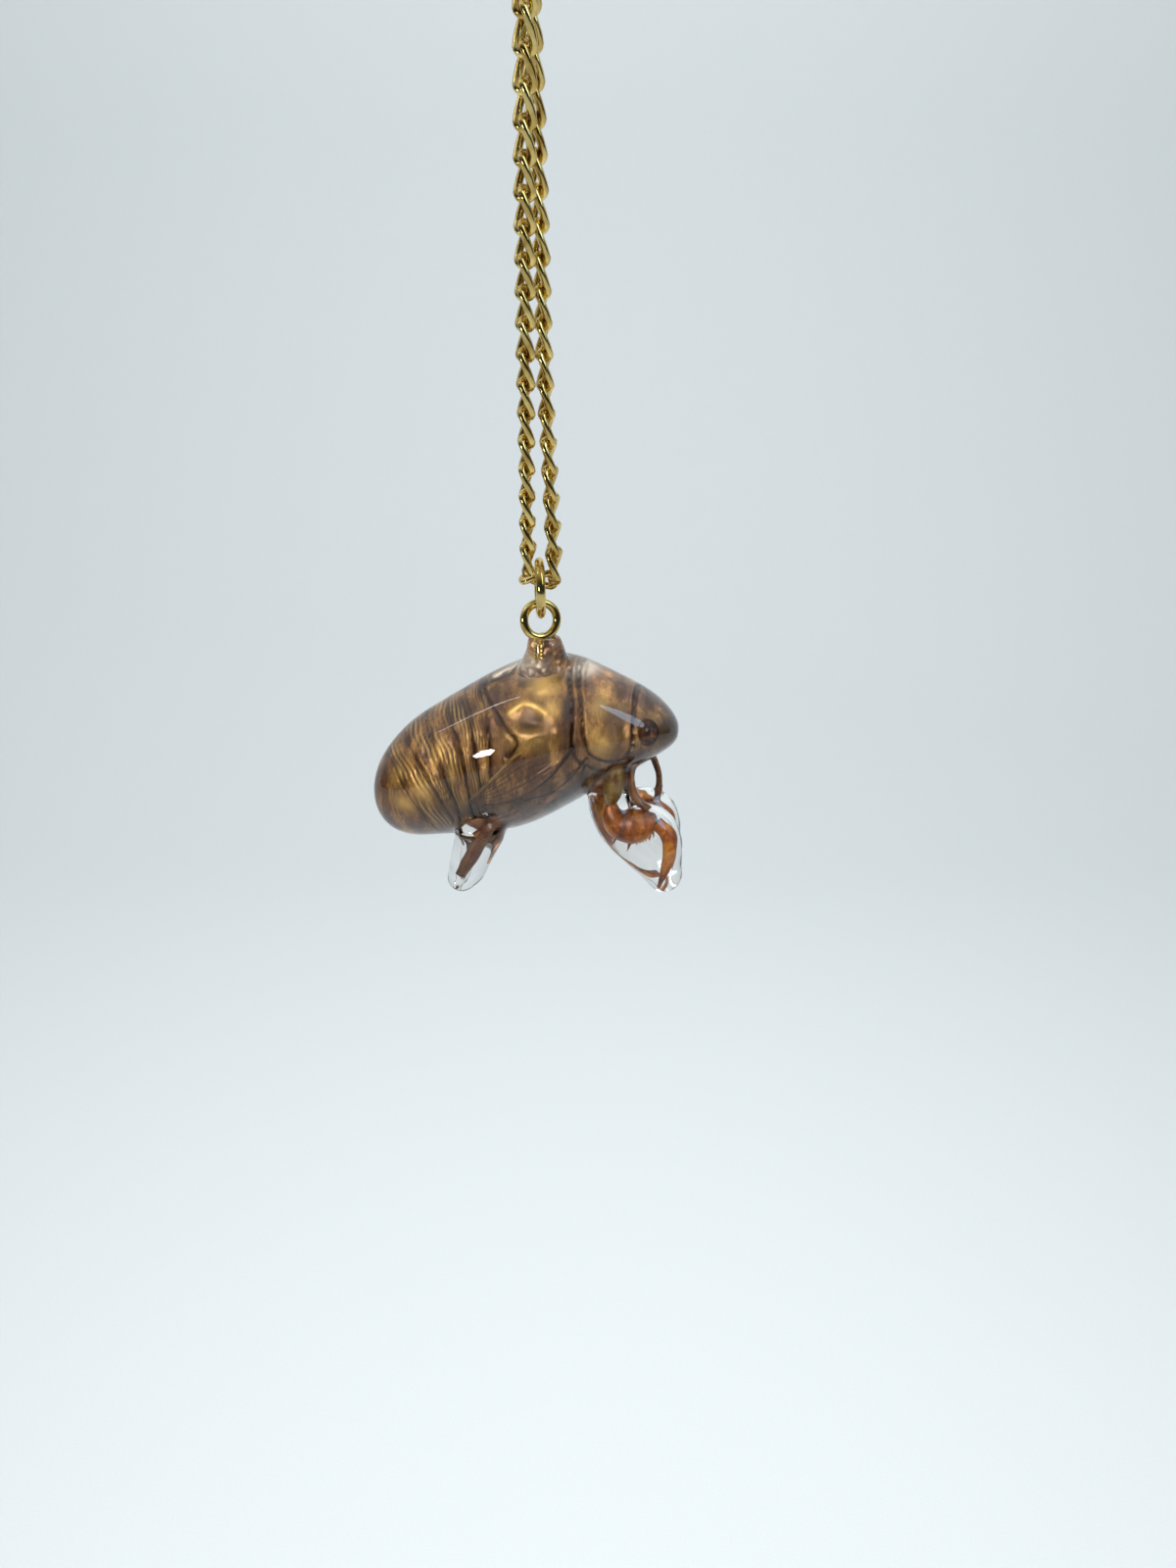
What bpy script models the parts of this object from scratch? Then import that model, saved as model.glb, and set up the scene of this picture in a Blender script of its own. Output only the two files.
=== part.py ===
"""Cicada shell coated in clear resin, hung by a wire eye and a jump ring on a doubled curb chain.

The origin is the centre of the ring at the top of the chain. +Z is up, and the head points to +X.
Run it with: blender --background --python part.py
"""

import math

import bmesh
import bpy
from mathutils import Matrix, Vector

MM = 0.001
MESH_GAP = 0.3  # mm between solids that touch on the real object

# Curb chain
LINK_WIRE = 0.48  # mm, diameter
LINK_PITCH = 2.52
LINK_HALF_LENGTH = 1.55  # centre line of the wire
LINK_HALF_WIDTH = 0.70
LINK_TWIST = math.radians(45)
LINKS_PER_STRAND = 20
RIGHT_STRAND = {"spread": 1.425, "step": 1.0, "turn": (-60, -30)}
LEFT_STRAND = {"spread": 1.025, "step": 1.55, "turn": (15, 75)}
TURNING_LINK_SHIFT = -0.075
STRAND_SPREAD_HALFWAY = 0.98  # where the strands come together
BOW_SEGMENTS = 4
LINK_SIDES = 4

# Wire rings
RING_RADIUS = 2.51  # centre line of the jump ring and of the top ring
RING_WIRE = 0.91
RING_ABOVE_LINK = 1.25  # centre line of the ring's wire, above the link it hangs on
RING_TURN = math.radians(5)
RING_SEGMENTS = 24
RING_SIDES = 6
EYE_RADIUS = 1.71
EYE_WIRE = 0.85
EYE_TURN = math.radians(22)
EYE_PLAY = 0.05
SHANK_LENGTH = 2.2

# Hanging attitude of the pendant
PENDANT_ROLL = math.radians(-14)
PENDANT_YAW = math.radians(-9)
EYE_IN_PENDANT = (0.54, -3.46, 0.84)

# Coated body, as x, top, bottom and half width in mm, in the pendant's own frame
COATED_BODY = (
    (-17.55, -17.2, -19.3, 1.3),
    (-17.0, -15.2, -21.0, 3.0),
    (-15.7, -12.8, -22.7, 4.6),
    (-13.2, -10.2, -23.4, 5.9),
    (-9.6, -7.8, -22.9, 6.9),
    (-5.0, -4.9, -22.3, 7.8),
    (-0.5, -2.8, -21.1, 8.2),
    (3.6, -2.7, -18.6, 8.1),
    (7.4, -4.2, -16.1, 7.4),
    (10.2, -5.4, -14.4, 6.4),
    (12.4, -6.7, -12.8, 4.9),
    (14.0, -8.3, -11.6, 3.0),
    (14.6, -9.6, -10.8, 1.0),
)
COAT = 1.0  # mm of resin over the shell
POCKET_CLEARANCE = 0.36
RESIN_VOXEL = 0.34
RESIN_TRIANGLES = 1250
POCKET_TRIANGLES = 700

# Shell: where each ring of the body starts, as x on the body's axis
ABDOMEN_SEAMS = (-15.2, -13.6, -11.8, -10.0, -8.2, -6.6, -5.2)
ABDOMEN_STEP = 0.28
THORAX_SEAM = 3.4
NECK_SEAM = 8.6
SEAM_DEPTH = 0.35
SHELL_SIDES = 20
EYE_BULGE = (11.2, 3.4, -9.8)
EYE_BULGE_RADII = (1.2, 1.4, 1.4)


def clear_scene():
    for obj in list(bpy.data.objects):
        bpy.data.objects.remove(obj, do_unlink=True)


def make_material(name, colour, roughness, metallic=0.0, alpha=1.0):
    material = bpy.data.materials.new(name)
    material.use_nodes = True
    shader = material.node_tree.nodes["Principled BSDF"]
    shader.inputs["Base Color"].default_value = (*colour, 1.0)
    shader.inputs["Roughness"].default_value = roughness
    shader.inputs["Metallic"].default_value = metallic
    shader.inputs["Alpha"].default_value = alpha
    material.diffuse_color = (*colour, alpha)
    return material


def add_object(name, mesh, material=None):
    obj = bpy.data.objects.new(name, mesh)
    bpy.context.scene.collection.objects.link(obj)
    if material:
        mesh.materials.clear()
        mesh.materials.append(material)
    return obj


def mesh_from(name, points, faces):
    """A mesh in metres from points in mm, with its faces turned outwards."""
    mesh = bpy.data.meshes.new(name)
    mesh.from_pydata([Vector(p) * MM for p in points], [], faces)
    shaped = bmesh.new()
    shaped.from_mesh(mesh)
    bmesh.ops.recalc_face_normals(shaped, faces=shaped.faces)
    shaped.to_mesh(mesh)
    shaped.free()
    return mesh


def joined_rings(rings, closed=False):
    """Points and faces that bridge rings of equal length, capped unless they close on themselves."""
    sides = len(rings[0])
    points = [point for ring in rings for point in ring]
    faces = []
    for i in range(len(rings) if closed else len(rings) - 1):
        j = (i + 1) % len(rings)
        for k in range(sides):
            m = (k + 1) % sides
            faces.append((i * sides + k, i * sides + m, j * sides + m, j * sides + k))
    if not closed:
        faces.append(tuple(range(sides)))
        faces.append(tuple((len(rings) - 1) * sides + k for k in range(sides)))
    return points, faces


def wire_loop(name, centre_line, radius, sides):
    """A closed loop of round wire along a list of points."""
    count = len(centre_line)
    rings = []
    middle = sum(centre_line, Vector()) / count
    for i, point in enumerate(centre_line):
        along = (centre_line[(i + 1) % count] - centre_line[i - 1]).normalized()
        outward = (point - middle).normalized()
        outward = (outward - along * outward.dot(along)).normalized()
        across = along.cross(outward)
        angles = [2 * math.pi * k / sides for k in range(sides)]
        rings.append([point + (outward * math.cos(a) + across * math.sin(a)) * radius for a in angles])
    return mesh_from(name, *joined_rings(rings, closed=True))


def tube(name, path, sides=10, stretch_y=1.0):
    """A round bar with domed ends through (x, y, z, radius) stations."""
    centres = [Vector(station[:3]) for station in path]
    radii = [station[3] for station in path]
    first = (centres[1] - centres[0]).normalized()
    last = (centres[-1] - centres[-2]).normalized()
    dome = (0.95, 0.6)
    centres = (
        [centres[0] - first * radii[0] * d for d in dome]
        + centres
        + [centres[-1] + last * radii[-1] * d for d in reversed(dome)]
    )
    ends = (0.31, 0.8)
    radii = [radii[0] * e for e in ends] + radii + [radii[-1] * e for e in reversed(ends)]
    rings = []
    for i, centre in enumerate(centres):
        along = (centres[min(i + 1, len(centres) - 1)] - centres[max(i - 1, 0)]).normalized()
        across = along.cross(Vector((0.0, 1.0, 0.0)))
        across = across.normalized() if across.length > 0.1 else Vector((1.0, 0.0, 0.0))
        side = across.cross(along).normalized()
        angles = [2 * math.pi * k / sides for k in range(sides)]
        rings.append(
            [centre + (across * math.cos(a) + side * math.sin(a) * stretch_y) * radii[i] for a in angles]
        )
    return mesh_from(name, *joined_rings(rings))


def ellipsoid(name, centre, radii, segments=14, rings=9):
    """A ball stretched to three radii."""
    shaped = bmesh.new()
    bmesh.ops.create_uvsphere(shaped, u_segments=segments, v_segments=rings, radius=1.0)
    place = Matrix.Translation(Vector(centre) * MM) @ Matrix.Diagonal((*(Vector(radii) * MM), 1.0))
    bmesh.ops.transform(shaped, matrix=place, verts=shaped.verts)
    mesh = bpy.data.meshes.new(name)
    shaped.to_mesh(mesh)
    shaped.free()
    return mesh


def between_stations(x):
    """The coated body's top, bottom and half width at x, on a smooth curve through its stations."""
    stations = COATED_BODY
    x = min(max(x, stations[0][0]), stations[-1][0])
    i = max(k for k in range(len(stations) - 1) if stations[k][0] <= x)
    before, start, end, after = (
        stations[max(i - 1, 0)],
        stations[i],
        stations[i + 1],
        stations[min(i + 2, len(stations) - 1)],
    )
    t = (x - start[0]) / (end[0] - start[0])
    values = []
    for k in (1, 2, 3):
        slope_start = (end[k] - before[k]) / (end[0] - before[0]) * (end[0] - start[0])
        slope_end = (after[k] - start[k]) / (after[0] - start[0]) * (end[0] - start[0])
        values.append(
            (2 * t**3 - 3 * t**2 + 1) * start[k]
            + (t**3 - 2 * t**2 + t) * slope_start
            + (3 * t**2 - 2 * t**3) * end[k]
            + (t**3 - t**2) * slope_end
        )
    return values


def body_ring(x, inset, sides):
    """An oval section of the body at x, this far inside the coated surface."""
    top, bottom, half_width = between_stations(x)
    half_height = max((top - bottom) / 2 - inset, 0.3)
    half_width = max(half_width - inset, 0.3)
    middle = (top + bottom) / 2
    angles = [2 * math.pi * (k + 0.5) / sides for k in range(sides)]
    return [(x, half_width * math.cos(a), middle + half_height * math.sin(a)) for a in angles]


def body_mesh(name, stations, sides):
    """The body lofted through (x, inset) stations."""
    return mesh_from(name, *joined_rings([body_ring(x, inset, sides) for x, inset in stations]))


def evaluated_mesh(obj):
    """The mesh that an object's modifiers give, as a mesh of its own."""
    graph = bpy.context.evaluated_depsgraph_get()
    mesh = bpy.data.meshes.new_from_object(obj.evaluated_get(graph))
    mesh.name = obj.name
    return mesh


def applied(obj):
    """The object with its modifiers applied."""
    mesh = evaluated_mesh(obj)
    obj.modifiers.clear()
    obj.data = mesh
    return obj


def boolean(obj, operation, cutter):
    """The object after a Boolean with a cutter, which is then removed."""
    modifier = obj.modifiers.new(operation.title(), "BOOLEAN")
    modifier.operation = operation
    modifier.object = cutter
    applied(obj)
    bpy.data.objects.remove(cutter, do_unlink=True)
    return obj


def fused(name, meshes):
    """One solid from overlapping meshes, by Boolean unions."""
    solid = add_object(name, meshes[0])
    for mesh in meshes[1:]:
        boolean(solid, "UNION", add_object("helper", mesh))
    return solid


def melted(name, meshes, triangles, smoothing):
    """One smooth skin over overlapping meshes, as poured resin makes."""
    shaped = bmesh.new()
    for mesh in meshes:
        shaped.from_mesh(mesh)
    mesh = bpy.data.meshes.new(name)
    shaped.to_mesh(mesh)
    shaped.free()
    skin = add_object(name, mesh)
    remesh = skin.modifiers.new("Skin", "REMESH")
    remesh.mode = "VOXEL"
    remesh.voxel_size = RESIN_VOXEL * MM
    smooth = skin.modifiers.new("Flow", "SMOOTH")
    smooth.factor = 0.5
    smooth.iterations = smoothing
    applied(skin)
    decimate = skin.modifiers.new("Facets", "DECIMATE")
    decimate.use_collapse_triangulate = True
    decimate.ratio = triangles / (2 * len(skin.data.polygons))
    return applied(skin)


def mirrored(path, shift=0.0):
    """A path on the far side of the body."""
    return [(x + shift, -y, z, radius) for x, y, z, radius in path]


FORELEG = (
    (8.5, -3.4, -13.6, 1.0),
    (8.3, -3.4, -16.0, 1.05),
    (8.3, -3.5, -18.2, 0.8),
)
FEMUR = ((9.0, -3.6, -19.0, 0.9), (10.4, -3.6, -19.7, 1.4), (12.2, -3.6, -19.6, 0.9))
TIBIA = (
    (13.0, -3.6, -19.6, 0.5),
    (14.0, -3.6, -20.6, 0.55),
    (14.3, -3.6, -22.4, 0.5),
    (14.1, -3.6, -24.6, 0.3),
)
MID_LEG = ((3.8, -4.0, -14.4, 0.8), (1.6, -4.4, -16.6, 0.6), (-0.8, -4.0, -17.8, 0.4))
HIND_LEG = (
    (-1.6, -4.0, -18.0, 0.65),
    (-4.0, -4.3, -19.8, 0.6),
    (-5.3, -4.5, -22.4, 0.55),
    (-7.0, -4.5, -25.9, 0.38),
)
FORELEG_DRIP = (
    (8.3, -3.4, -14.6, 2.0),
    (8.0, -3.4, -16.6, 2.1),
    (8.7, -3.6, -18.7, 2.2),
    (10.3, -3.6, -20.4, 2.5),
    (12.3, -3.6, -22.0, 2.5),
    (13.5, -3.6, -23.4, 2.2),
    (14.2, -3.6, -24.4, 1.9),
)
TIBIA_DRIP = (
    (11.0, -3.6, -19.8, 2.5),
    (12.6, -3.6, -19.7, 2.6),
    (13.4, -3.6, -20.9, 2.5),
    (13.8, -3.6, -22.8, 2.3),
    (14.2, -3.6, -24.3, 1.9),
)
HIND_DRIP = (
    (-5.1, -4.2, -21.2, 2.6),
    (-5.9, -4.5, -23.8, 2.2),
    (-6.5, -4.5, -25.6, 2.0),
    (-6.9, -4.5, -26.3, 1.6),
)
HEAD_STRAND = (
    (10.2, -3.2, -13.0, 0.6),
    (10.3, -3.4, -15.2, 0.5),
    (10.9, -3.6, -16.6, 0.5),
    (12.2, -3.6, -18.0, 0.6),
)
FAR_STRAND = ((11.6, 2.6, -12.8, 0.5), (12.7, 2.8, -15.9, 0.42), (12.5, 2.8, -18.6, 0.55))
FAR_SIDE_SHIFT = -0.7
WING_PAD = (
    (2.2, -6.2, -11.5, 1.3),
    (-0.8, -6.15, -14.0, 1.5),
    (-3.6, -5.7, -16.2, 1.2),
    (-5.6, -5.2, -17.6, 0.5),
)
HIND_PAD = ((2.6, -5.2, -13.7, 1.0), (-0.2, -5.3, -15.8, 1.0), (-2.2, -5.0, -17.0, 0.5))
NECK = (
    (0.9, -2.2, -5.6, 3.0),
    (1.0, -2.75, -3.2, 2.5),
    (0.95, -2.95, -2.5, 2.0),
    (0.9, -3.0, -2.2, 1.7),
)


def grown(path, amount):
    return [(x, y, z, radius + amount) for x, y, z, radius in path]


def shell_paths():
    """The legs of both sides, as tube stations."""
    near = (FORELEG, FEMUR, TIBIA, MID_LEG, HIND_LEG)
    return [*near, *(mirrored(path, FAR_SIDE_SHIFT) for path in near)]


def shell_stations():
    """x and inset of each ring: the abdomen overlaps ring by ring, and two grooves part the thorax."""
    stations = [(-16.4, COAT + 0.4), (-15.9, COAT)]
    for seam in ABDOMEN_SEAMS:
        stations += [(seam - 0.12, COAT - 0.02), (seam + 0.12, COAT + ABDOMEN_STEP)]
    stations += [(-4.2, COAT + 0.3), (-3.6, COAT), (-0.5, COAT)]
    for seam in (THORAX_SEAM, NECK_SEAM):
        stations += [(seam - 0.5, COAT), (seam, COAT + SEAM_DEPTH), (seam + 0.5, COAT)]
    stations += [(6.2, COAT), (10.4, COAT), (12.2, COAT + 0.1), (13.2, COAT + 0.3)]
    return sorted(stations)


def make_shell(material):
    """The moult: body rings, eyes, wing pads and legs in one solid."""
    meshes = [body_mesh("body", shell_stations(), SHELL_SIDES)]
    for side in (-1, 1):
        x, y, z = EYE_BULGE
        meshes.append(ellipsoid("eye_bulge", (x, side * y, z), EYE_BULGE_RADII, 10, 7))
        for pad in (WING_PAD, HIND_PAD):
            path = [(x, -side * y, z, radius) for x, y, z, radius in pad]
            meshes.append(tube("pad", path, sides=8, stretch_y=0.55))
    meshes += [tube("leg", path, sides=7) for path in shell_paths()]
    shell = fused("cicada_shell", meshes)
    shell.data.materials.clear()
    shell.data.materials.append(material)
    return shell


def pocket_meshes():
    clearance = POCKET_CLEARANCE
    stations = [(-16.9, COAT - clearance)]
    stations += [(x, COAT - clearance) for x in (-15.6, -13.0, -10.0, -6.5, -3.0, 0.5, 4.0, 7.5)]
    stations += [(x, COAT - clearance) for x in (10.0, 12.0, 13.5)]
    meshes = [body_mesh("body", stations, SHELL_SIDES)]
    x, y, z = EYE_BULGE
    for side in (-1, 1):
        meshes.append(
            ellipsoid("eye_bulge", (x, side * y, z), [r + clearance for r in EYE_BULGE_RADII])
        )
        for pad in (WING_PAD, HIND_PAD):
            path = [(x, -side * y, z, radius + clearance) for x, y, z, radius in pad]
            meshes.append(tube("pad", path, sides=10, stretch_y=0.75))
    return meshes + [tube("leg", grown(path, clearance)) for path in shell_paths()]


def resin_meshes():
    """The coated body, its neck round the eye and the drips that run down the legs."""
    stations = [(station[0], 0.0) for station in COATED_BODY]
    meshes = [body_mesh("body", stations, 28), tube("neck", NECK, sides=16)]
    for drip in (FORELEG_DRIP, TIBIA_DRIP, HIND_DRIP):
        meshes.append(tube("drip", drip, sides=16))
        meshes.append(tube("drip", mirrored(drip, FAR_SIDE_SHIFT), sides=16))
    return meshes + [tube("strand", strand) for strand in (HEAD_STRAND, FAR_STRAND)]


def half_space(side):
    """A block that holds everything on one side of the parting plane."""
    size = 60.0
    shaped = bmesh.new()
    bmesh.ops.create_cube(shaped, size=size * MM)
    offset = (side * (size / 2 + MESH_GAP / 2) * MM)
    bmesh.ops.translate(shaped, verts=shaped.verts, vec=(0.0, offset, -12.0 * MM))
    mesh = bpy.data.meshes.new("half_space")
    shaped.to_mesh(mesh)
    shaped.free()
    return add_object("half_space", mesh)


def eye_path_in_pendant():
    """The eye's shank, from its ring straight down into the resin, in the pendant's frame."""
    down = pendant_turn().inverted() @ Vector((0.0, 0.0, -1.0))
    start = Vector(EYE_IN_PENDANT) + down * EYE_RADIUS
    return start, start + down * SHANK_LENGTH


def eye_ring_points():
    """The eye's ring in the pendant's frame."""
    upright = pendant_turn().inverted() @ Matrix.Rotation(EYE_TURN, 3, "Z")
    tilt = Matrix.Rotation(PENDANT_ROLL, 3, "X")
    points = []
    for i in range(RING_SEGMENTS):
        a = 2 * math.pi * i / RING_SEGMENTS
        ring = Vector((math.cos(a), 0.0, math.sin(a))) * EYE_RADIUS
        points.append(Vector(EYE_IN_PENDANT) + upright @ tilt @ ring)
    return points


def eye_meshes(extra=0.0):
    start, end = eye_path_in_pendant()
    shank = [(*start, EYE_WIRE / 2 + extra), (*end, EYE_WIRE / 2 + extra)]
    return [
        wire_loop("ring", eye_ring_points(), EYE_WIRE / 2 + extra, RING_SIDES),
        tube("shank", shank, sides=RING_SIDES),
    ]


def pendant_turn():
    return Matrix.Rotation(PENDANT_YAW, 3, "Z") @ Matrix.Rotation(PENDANT_ROLL, 3, "X")


def make_resin(materials):
    """The clear coat, parted along the body's middle plane, with a pocket for the shell and the eye."""
    coat = melted("coat", resin_meshes(), RESIN_TRIANGLES, smoothing=9)
    pocket = melted("pocket", pocket_meshes(), POCKET_TRIANGLES, smoothing=2)
    boolean(coat, "DIFFERENCE", pocket)
    boolean(coat, "DIFFERENCE", fused("socket", eye_meshes(extra=0.16)))
    halves = []
    for name, side in (("resin_left", -1), ("resin_right", 1)):
        half = add_object(name, coat.data.copy())
        boolean(half, "INTERSECT", half_space(side))
        half.data.materials.clear()
        half.data.materials.append(materials["resin"])
        halves.append(half)
    bpy.data.objects.remove(coat, do_unlink=True)
    return halves


def heights():
    """Heights of the chain's two turning links, the jump ring and the eye, from the top ring's centre."""
    top_link = RING_ABOVE_LINK - RING_RADIUS
    bottom_link = top_link - strand_height()
    jump_ring = bottom_link + RING_ABOVE_LINK - RING_RADIUS
    hang = (RING_WIRE + EYE_WIRE) / 2 + EYE_PLAY
    eye = jump_ring - RING_RADIUS + hang - EYE_RADIUS * math.cos(PENDANT_ROLL)
    return {"top_link": top_link, "bottom_link": bottom_link, "jump_ring": jump_ring, "eye": eye}


def strand_height():
    return 2 * RIGHT_STRAND["step"] + (LINKS_PER_STRAND - 1) * LINK_PITCH


def link_mesh():
    """One link along Z, with round bows turned against each other by the twist."""
    half = LINK_HALF_LENGTH
    corner = half - LINK_HALF_WIDTH
    line = []
    for end in (1, -1):
        for i in range(BOW_SEGMENTS + 1):
            a = math.pi * i / BOW_SEGMENTS
            width = end * LINK_HALF_WIDTH * math.cos(a)
            height = end * (corner + LINK_HALF_WIDTH * math.sin(a))
            line.append((width, height))
        line.append((-end * LINK_HALF_WIDTH, 0.0))
    turns = [LINK_TWIST * height / half for _, height in line]
    points = [Vector((w * math.cos(t), w * math.sin(t), h)) for (w, h), t in zip(line, turns)]
    return wire_loop("chain_link", points, LINK_WIRE / 2, LINK_SIDES)


def link_place(normal, along, centre):
    """A link's place, from its flat's normal, its length and its middle in mm."""
    turn = Matrix((normal.cross(along), normal, along)).transposed()
    return Matrix.Translation(Vector(centre) * MM) @ turn.to_4x4()


def strand_places(strand, sign, bottom):
    """The links of one strand, which goes from one side of the jump ring to the front or back of the top ring."""
    rise = (strand_height() - 2 * strand["step"]) / (LINKS_PER_STRAND - 1)
    places = []
    for i in range(LINKS_PER_STRAND):
        u = i / (LINKS_PER_STRAND - 1)
        around = math.pi / 2 * u
        spread = strand["spread"] + (STRAND_SPREAD_HALFWAY - strand["spread"]) * math.sin(math.pi * u)
        start, end = (math.radians(a) for a in strand["turn"])
        angle = start + (end - start) * u
        normal = Vector((math.cos(angle), math.sin(angle), 0.0))
        x, y = sign * spread * math.cos(around), sign * spread * math.sin(around)
        places.append(link_place(normal, Vector((0, 0, 1)), (x, y, bottom + strand["step"] + rise * i)))
    return places


def link_places():
    """The chain as a closed loop: a link through each ring, and two strands between them."""
    z = heights()
    slope = math.sqrt(0.5)
    shift = TURNING_LINK_SHIFT
    bottom = link_place(Vector((0, -slope, -slope)), Vector((1, 0, 0)), (shift, 0.0, z["bottom_link"]))
    top = link_place(Vector((-slope, 0, slope)), Vector((0, 1, 0)), (0.0, shift, z["top_link"]))
    right = strand_places(RIGHT_STRAND, 1, z["bottom_link"])
    left = strand_places(LEFT_STRAND, -1, z["bottom_link"])
    return [bottom, *right, top, *left]


def make_chain(material):
    """Every link is its own object and shares one mesh."""
    mesh = link_mesh()
    mesh.materials.append(material)
    for i, place in enumerate(link_places()):
        link = add_object(f"chain_link_{i + 1:02d}", mesh)
        link.matrix_world = place


def make_ring(name, material, height, turn):
    line = []
    for i in range(RING_SEGMENTS):
        a = 2 * math.pi * i / RING_SEGMENTS
        line.append(Vector((math.cos(a), 0.0, math.sin(a))) * RING_RADIUS)
    ring = add_object(name, wire_loop(name, line, RING_WIRE / 2, RING_SIDES), material)
    ring.location = (0.0, 0.0, height * MM)
    ring.rotation_euler = (0.0, 0.0, turn)
    return ring


def make_materials():
    return {
        "gold": make_material("gold_plated_brass", (0.62, 0.43, 0.14), 0.22, metallic=1.0),
        "shell": make_material("shell_brown", (0.25, 0.13, 0.05), 0.45),
        "resin": make_material("clear_resin", (0.92, 0.90, 0.86), 0.03, alpha=0.35),
    }


def main():
    clear_scene()
    materials = make_materials()
    z = heights()
    make_ring("top_ring", materials["gold"], 0.0, 0.0)
    make_chain(materials["gold"])
    make_ring("jump_ring", materials["gold"], z["jump_ring"], math.pi / 2 + RING_TURN)
    eye = fused("eye", eye_meshes())
    eye.data.materials.clear()
    eye.data.materials.append(materials["gold"])
    pieces = [make_shell(materials["shell"]), eye, *make_resin(materials)]
    turn = pendant_turn()
    hung = Vector((0.0, 0.0, z["eye"])) - turn @ Vector(EYE_IN_PENDANT)
    pendant = bpy.data.objects.new("pendant_place", None)
    bpy.context.scene.collection.objects.link(pendant)
    pendant.matrix_world = Matrix.Translation(hung * MM) @ turn.to_4x4()
    for piece in pieces:
        piece.parent = pendant
    bpy.context.view_layer.update()


main()
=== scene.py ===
# %% [markdown]
# # A cicada shell in clear resin
# A cicada nymph left its empty skin on a tree. A maker dipped it in clear resin, set a wire eye
# in the neck of the coat and hung it on a doubled gold curb chain. This lesson dresses the plain
# solids of that pendant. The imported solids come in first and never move: they are the frame
# that each finer piece is fitted to.

# %% Load the frame
import math

import bpy
import numpy as np
from mathutils import Matrix, Vector


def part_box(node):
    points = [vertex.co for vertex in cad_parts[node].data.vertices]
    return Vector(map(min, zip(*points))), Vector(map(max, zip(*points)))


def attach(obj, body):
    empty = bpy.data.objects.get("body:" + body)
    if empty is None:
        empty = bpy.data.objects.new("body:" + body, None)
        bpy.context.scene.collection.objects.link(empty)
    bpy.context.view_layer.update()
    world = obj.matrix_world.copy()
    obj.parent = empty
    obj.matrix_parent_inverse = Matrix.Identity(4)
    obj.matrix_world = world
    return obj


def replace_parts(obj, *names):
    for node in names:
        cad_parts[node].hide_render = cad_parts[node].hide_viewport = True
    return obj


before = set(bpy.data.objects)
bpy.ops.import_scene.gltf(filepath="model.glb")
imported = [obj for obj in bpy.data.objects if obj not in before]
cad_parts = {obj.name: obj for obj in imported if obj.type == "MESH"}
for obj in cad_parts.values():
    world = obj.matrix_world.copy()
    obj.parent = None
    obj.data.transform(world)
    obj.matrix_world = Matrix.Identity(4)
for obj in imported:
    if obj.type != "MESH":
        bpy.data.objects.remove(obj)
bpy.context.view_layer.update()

MM = 0.001


# %% [markdown]
# ## Where things are
# The pendant hangs a little turned and rolled, so its insect is easier to model in a frame of its
# own: x runs to the head, z up the back and y to the far side, all in millimetres. One matrix
# then carries each finished piece to its place under the ring.

# %% The pendant's own frame
ROLL = math.radians(-14)
YAW = math.radians(-9)
EYE_HEIGHT = -55.64  # mm, centre of the wire eye below the top ring's centre
EYE_ON_BODY = Vector((0.54, -3.46, 0.84))  # the same point in the pendant's frame

turn = Matrix.Rotation(YAW, 3, "Z") @ Matrix.Rotation(ROLL, 3, "X")
hang = Vector((0.0, 0.0, EYE_HEIGHT)) - turn @ EYE_ON_BODY
PENDANT = Matrix.Scale(MM, 4) @ Matrix.Translation(hang) @ turn.to_4x4()
eye_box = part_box("eye")
print("eye solid from", tuple(eye_box[0]), "to", tuple(eye_box[1]))


# %% [markdown]
# ## Camera
# The photographer stood about 11 cm away and looked down at 28 degrees. A short lens that near
# makes the top of the chain look larger than its foot, which is what gave both numbers.

# %% Camera
PHOTO_WIDTH = 1200
PHOTO_HEIGHT = 1600
FOCAL_PIXELS = 1080
SENSOR = 36.0  # mm
LOOK_DOWN = math.radians(28)
CAMERA_PLACE = (4.7 * MM, -100.1 * MM, -20.8 * MM)

camera_data = bpy.data.cameras.new("camera")
camera_data.sensor_fit = "AUTO"
camera_data.sensor_width = SENSOR
camera_data.lens = FOCAL_PIXELS / PHOTO_HEIGHT * SENSOR
camera_data.clip_start = 0.002
camera = bpy.data.objects.new("camera", camera_data)
camera.location = CAMERA_PLACE
camera.rotation_euler = (math.pi / 2 - LOOK_DOWN, 0.0, 0.0)
bpy.context.scene.collection.objects.link(camera)
bpy.context.scene.camera = camera
print("lens", round(camera_data.lens, 2), "mm")


# %% [markdown]
# ## Tools for the bench
# Blender's operators act on whatever is selected. These small helpers clear the selection, pick
# one piece, and apply a modifier to it, so that each later cell starts from a known state.

# %% Selection and modifiers
def deselect():
    bpy.ops.object.select_all(action="DESELECT")


def pick(*pieces):
    deselect()
    for piece in pieces:
        piece.select_set(True)
    bpy.context.view_layer.objects.active = pieces[0]


def new_piece(name):
    """Names the primitive that was just added, and returns it."""
    piece = bpy.context.object
    piece.name = piece.data.name = name
    return piece


def modify(piece, kind, **settings):
    """Adds a modifier, sets it and applies it."""
    pick(piece)
    bpy.ops.object.modifier_add(type=kind)
    modifier = piece.modifiers[-1]
    for key, value in settings.items():
        setattr(modifier, key, value)
    bpy.ops.object.modifier_apply(modifier=modifier.name)


def settle(piece):
    """Puts the place of a piece into its mesh and leaves its object at the origin."""
    pick(piece)
    bpy.ops.object.transform_apply(location=True, rotation=True, scale=True)
    piece.data.update()
    return piece


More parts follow.
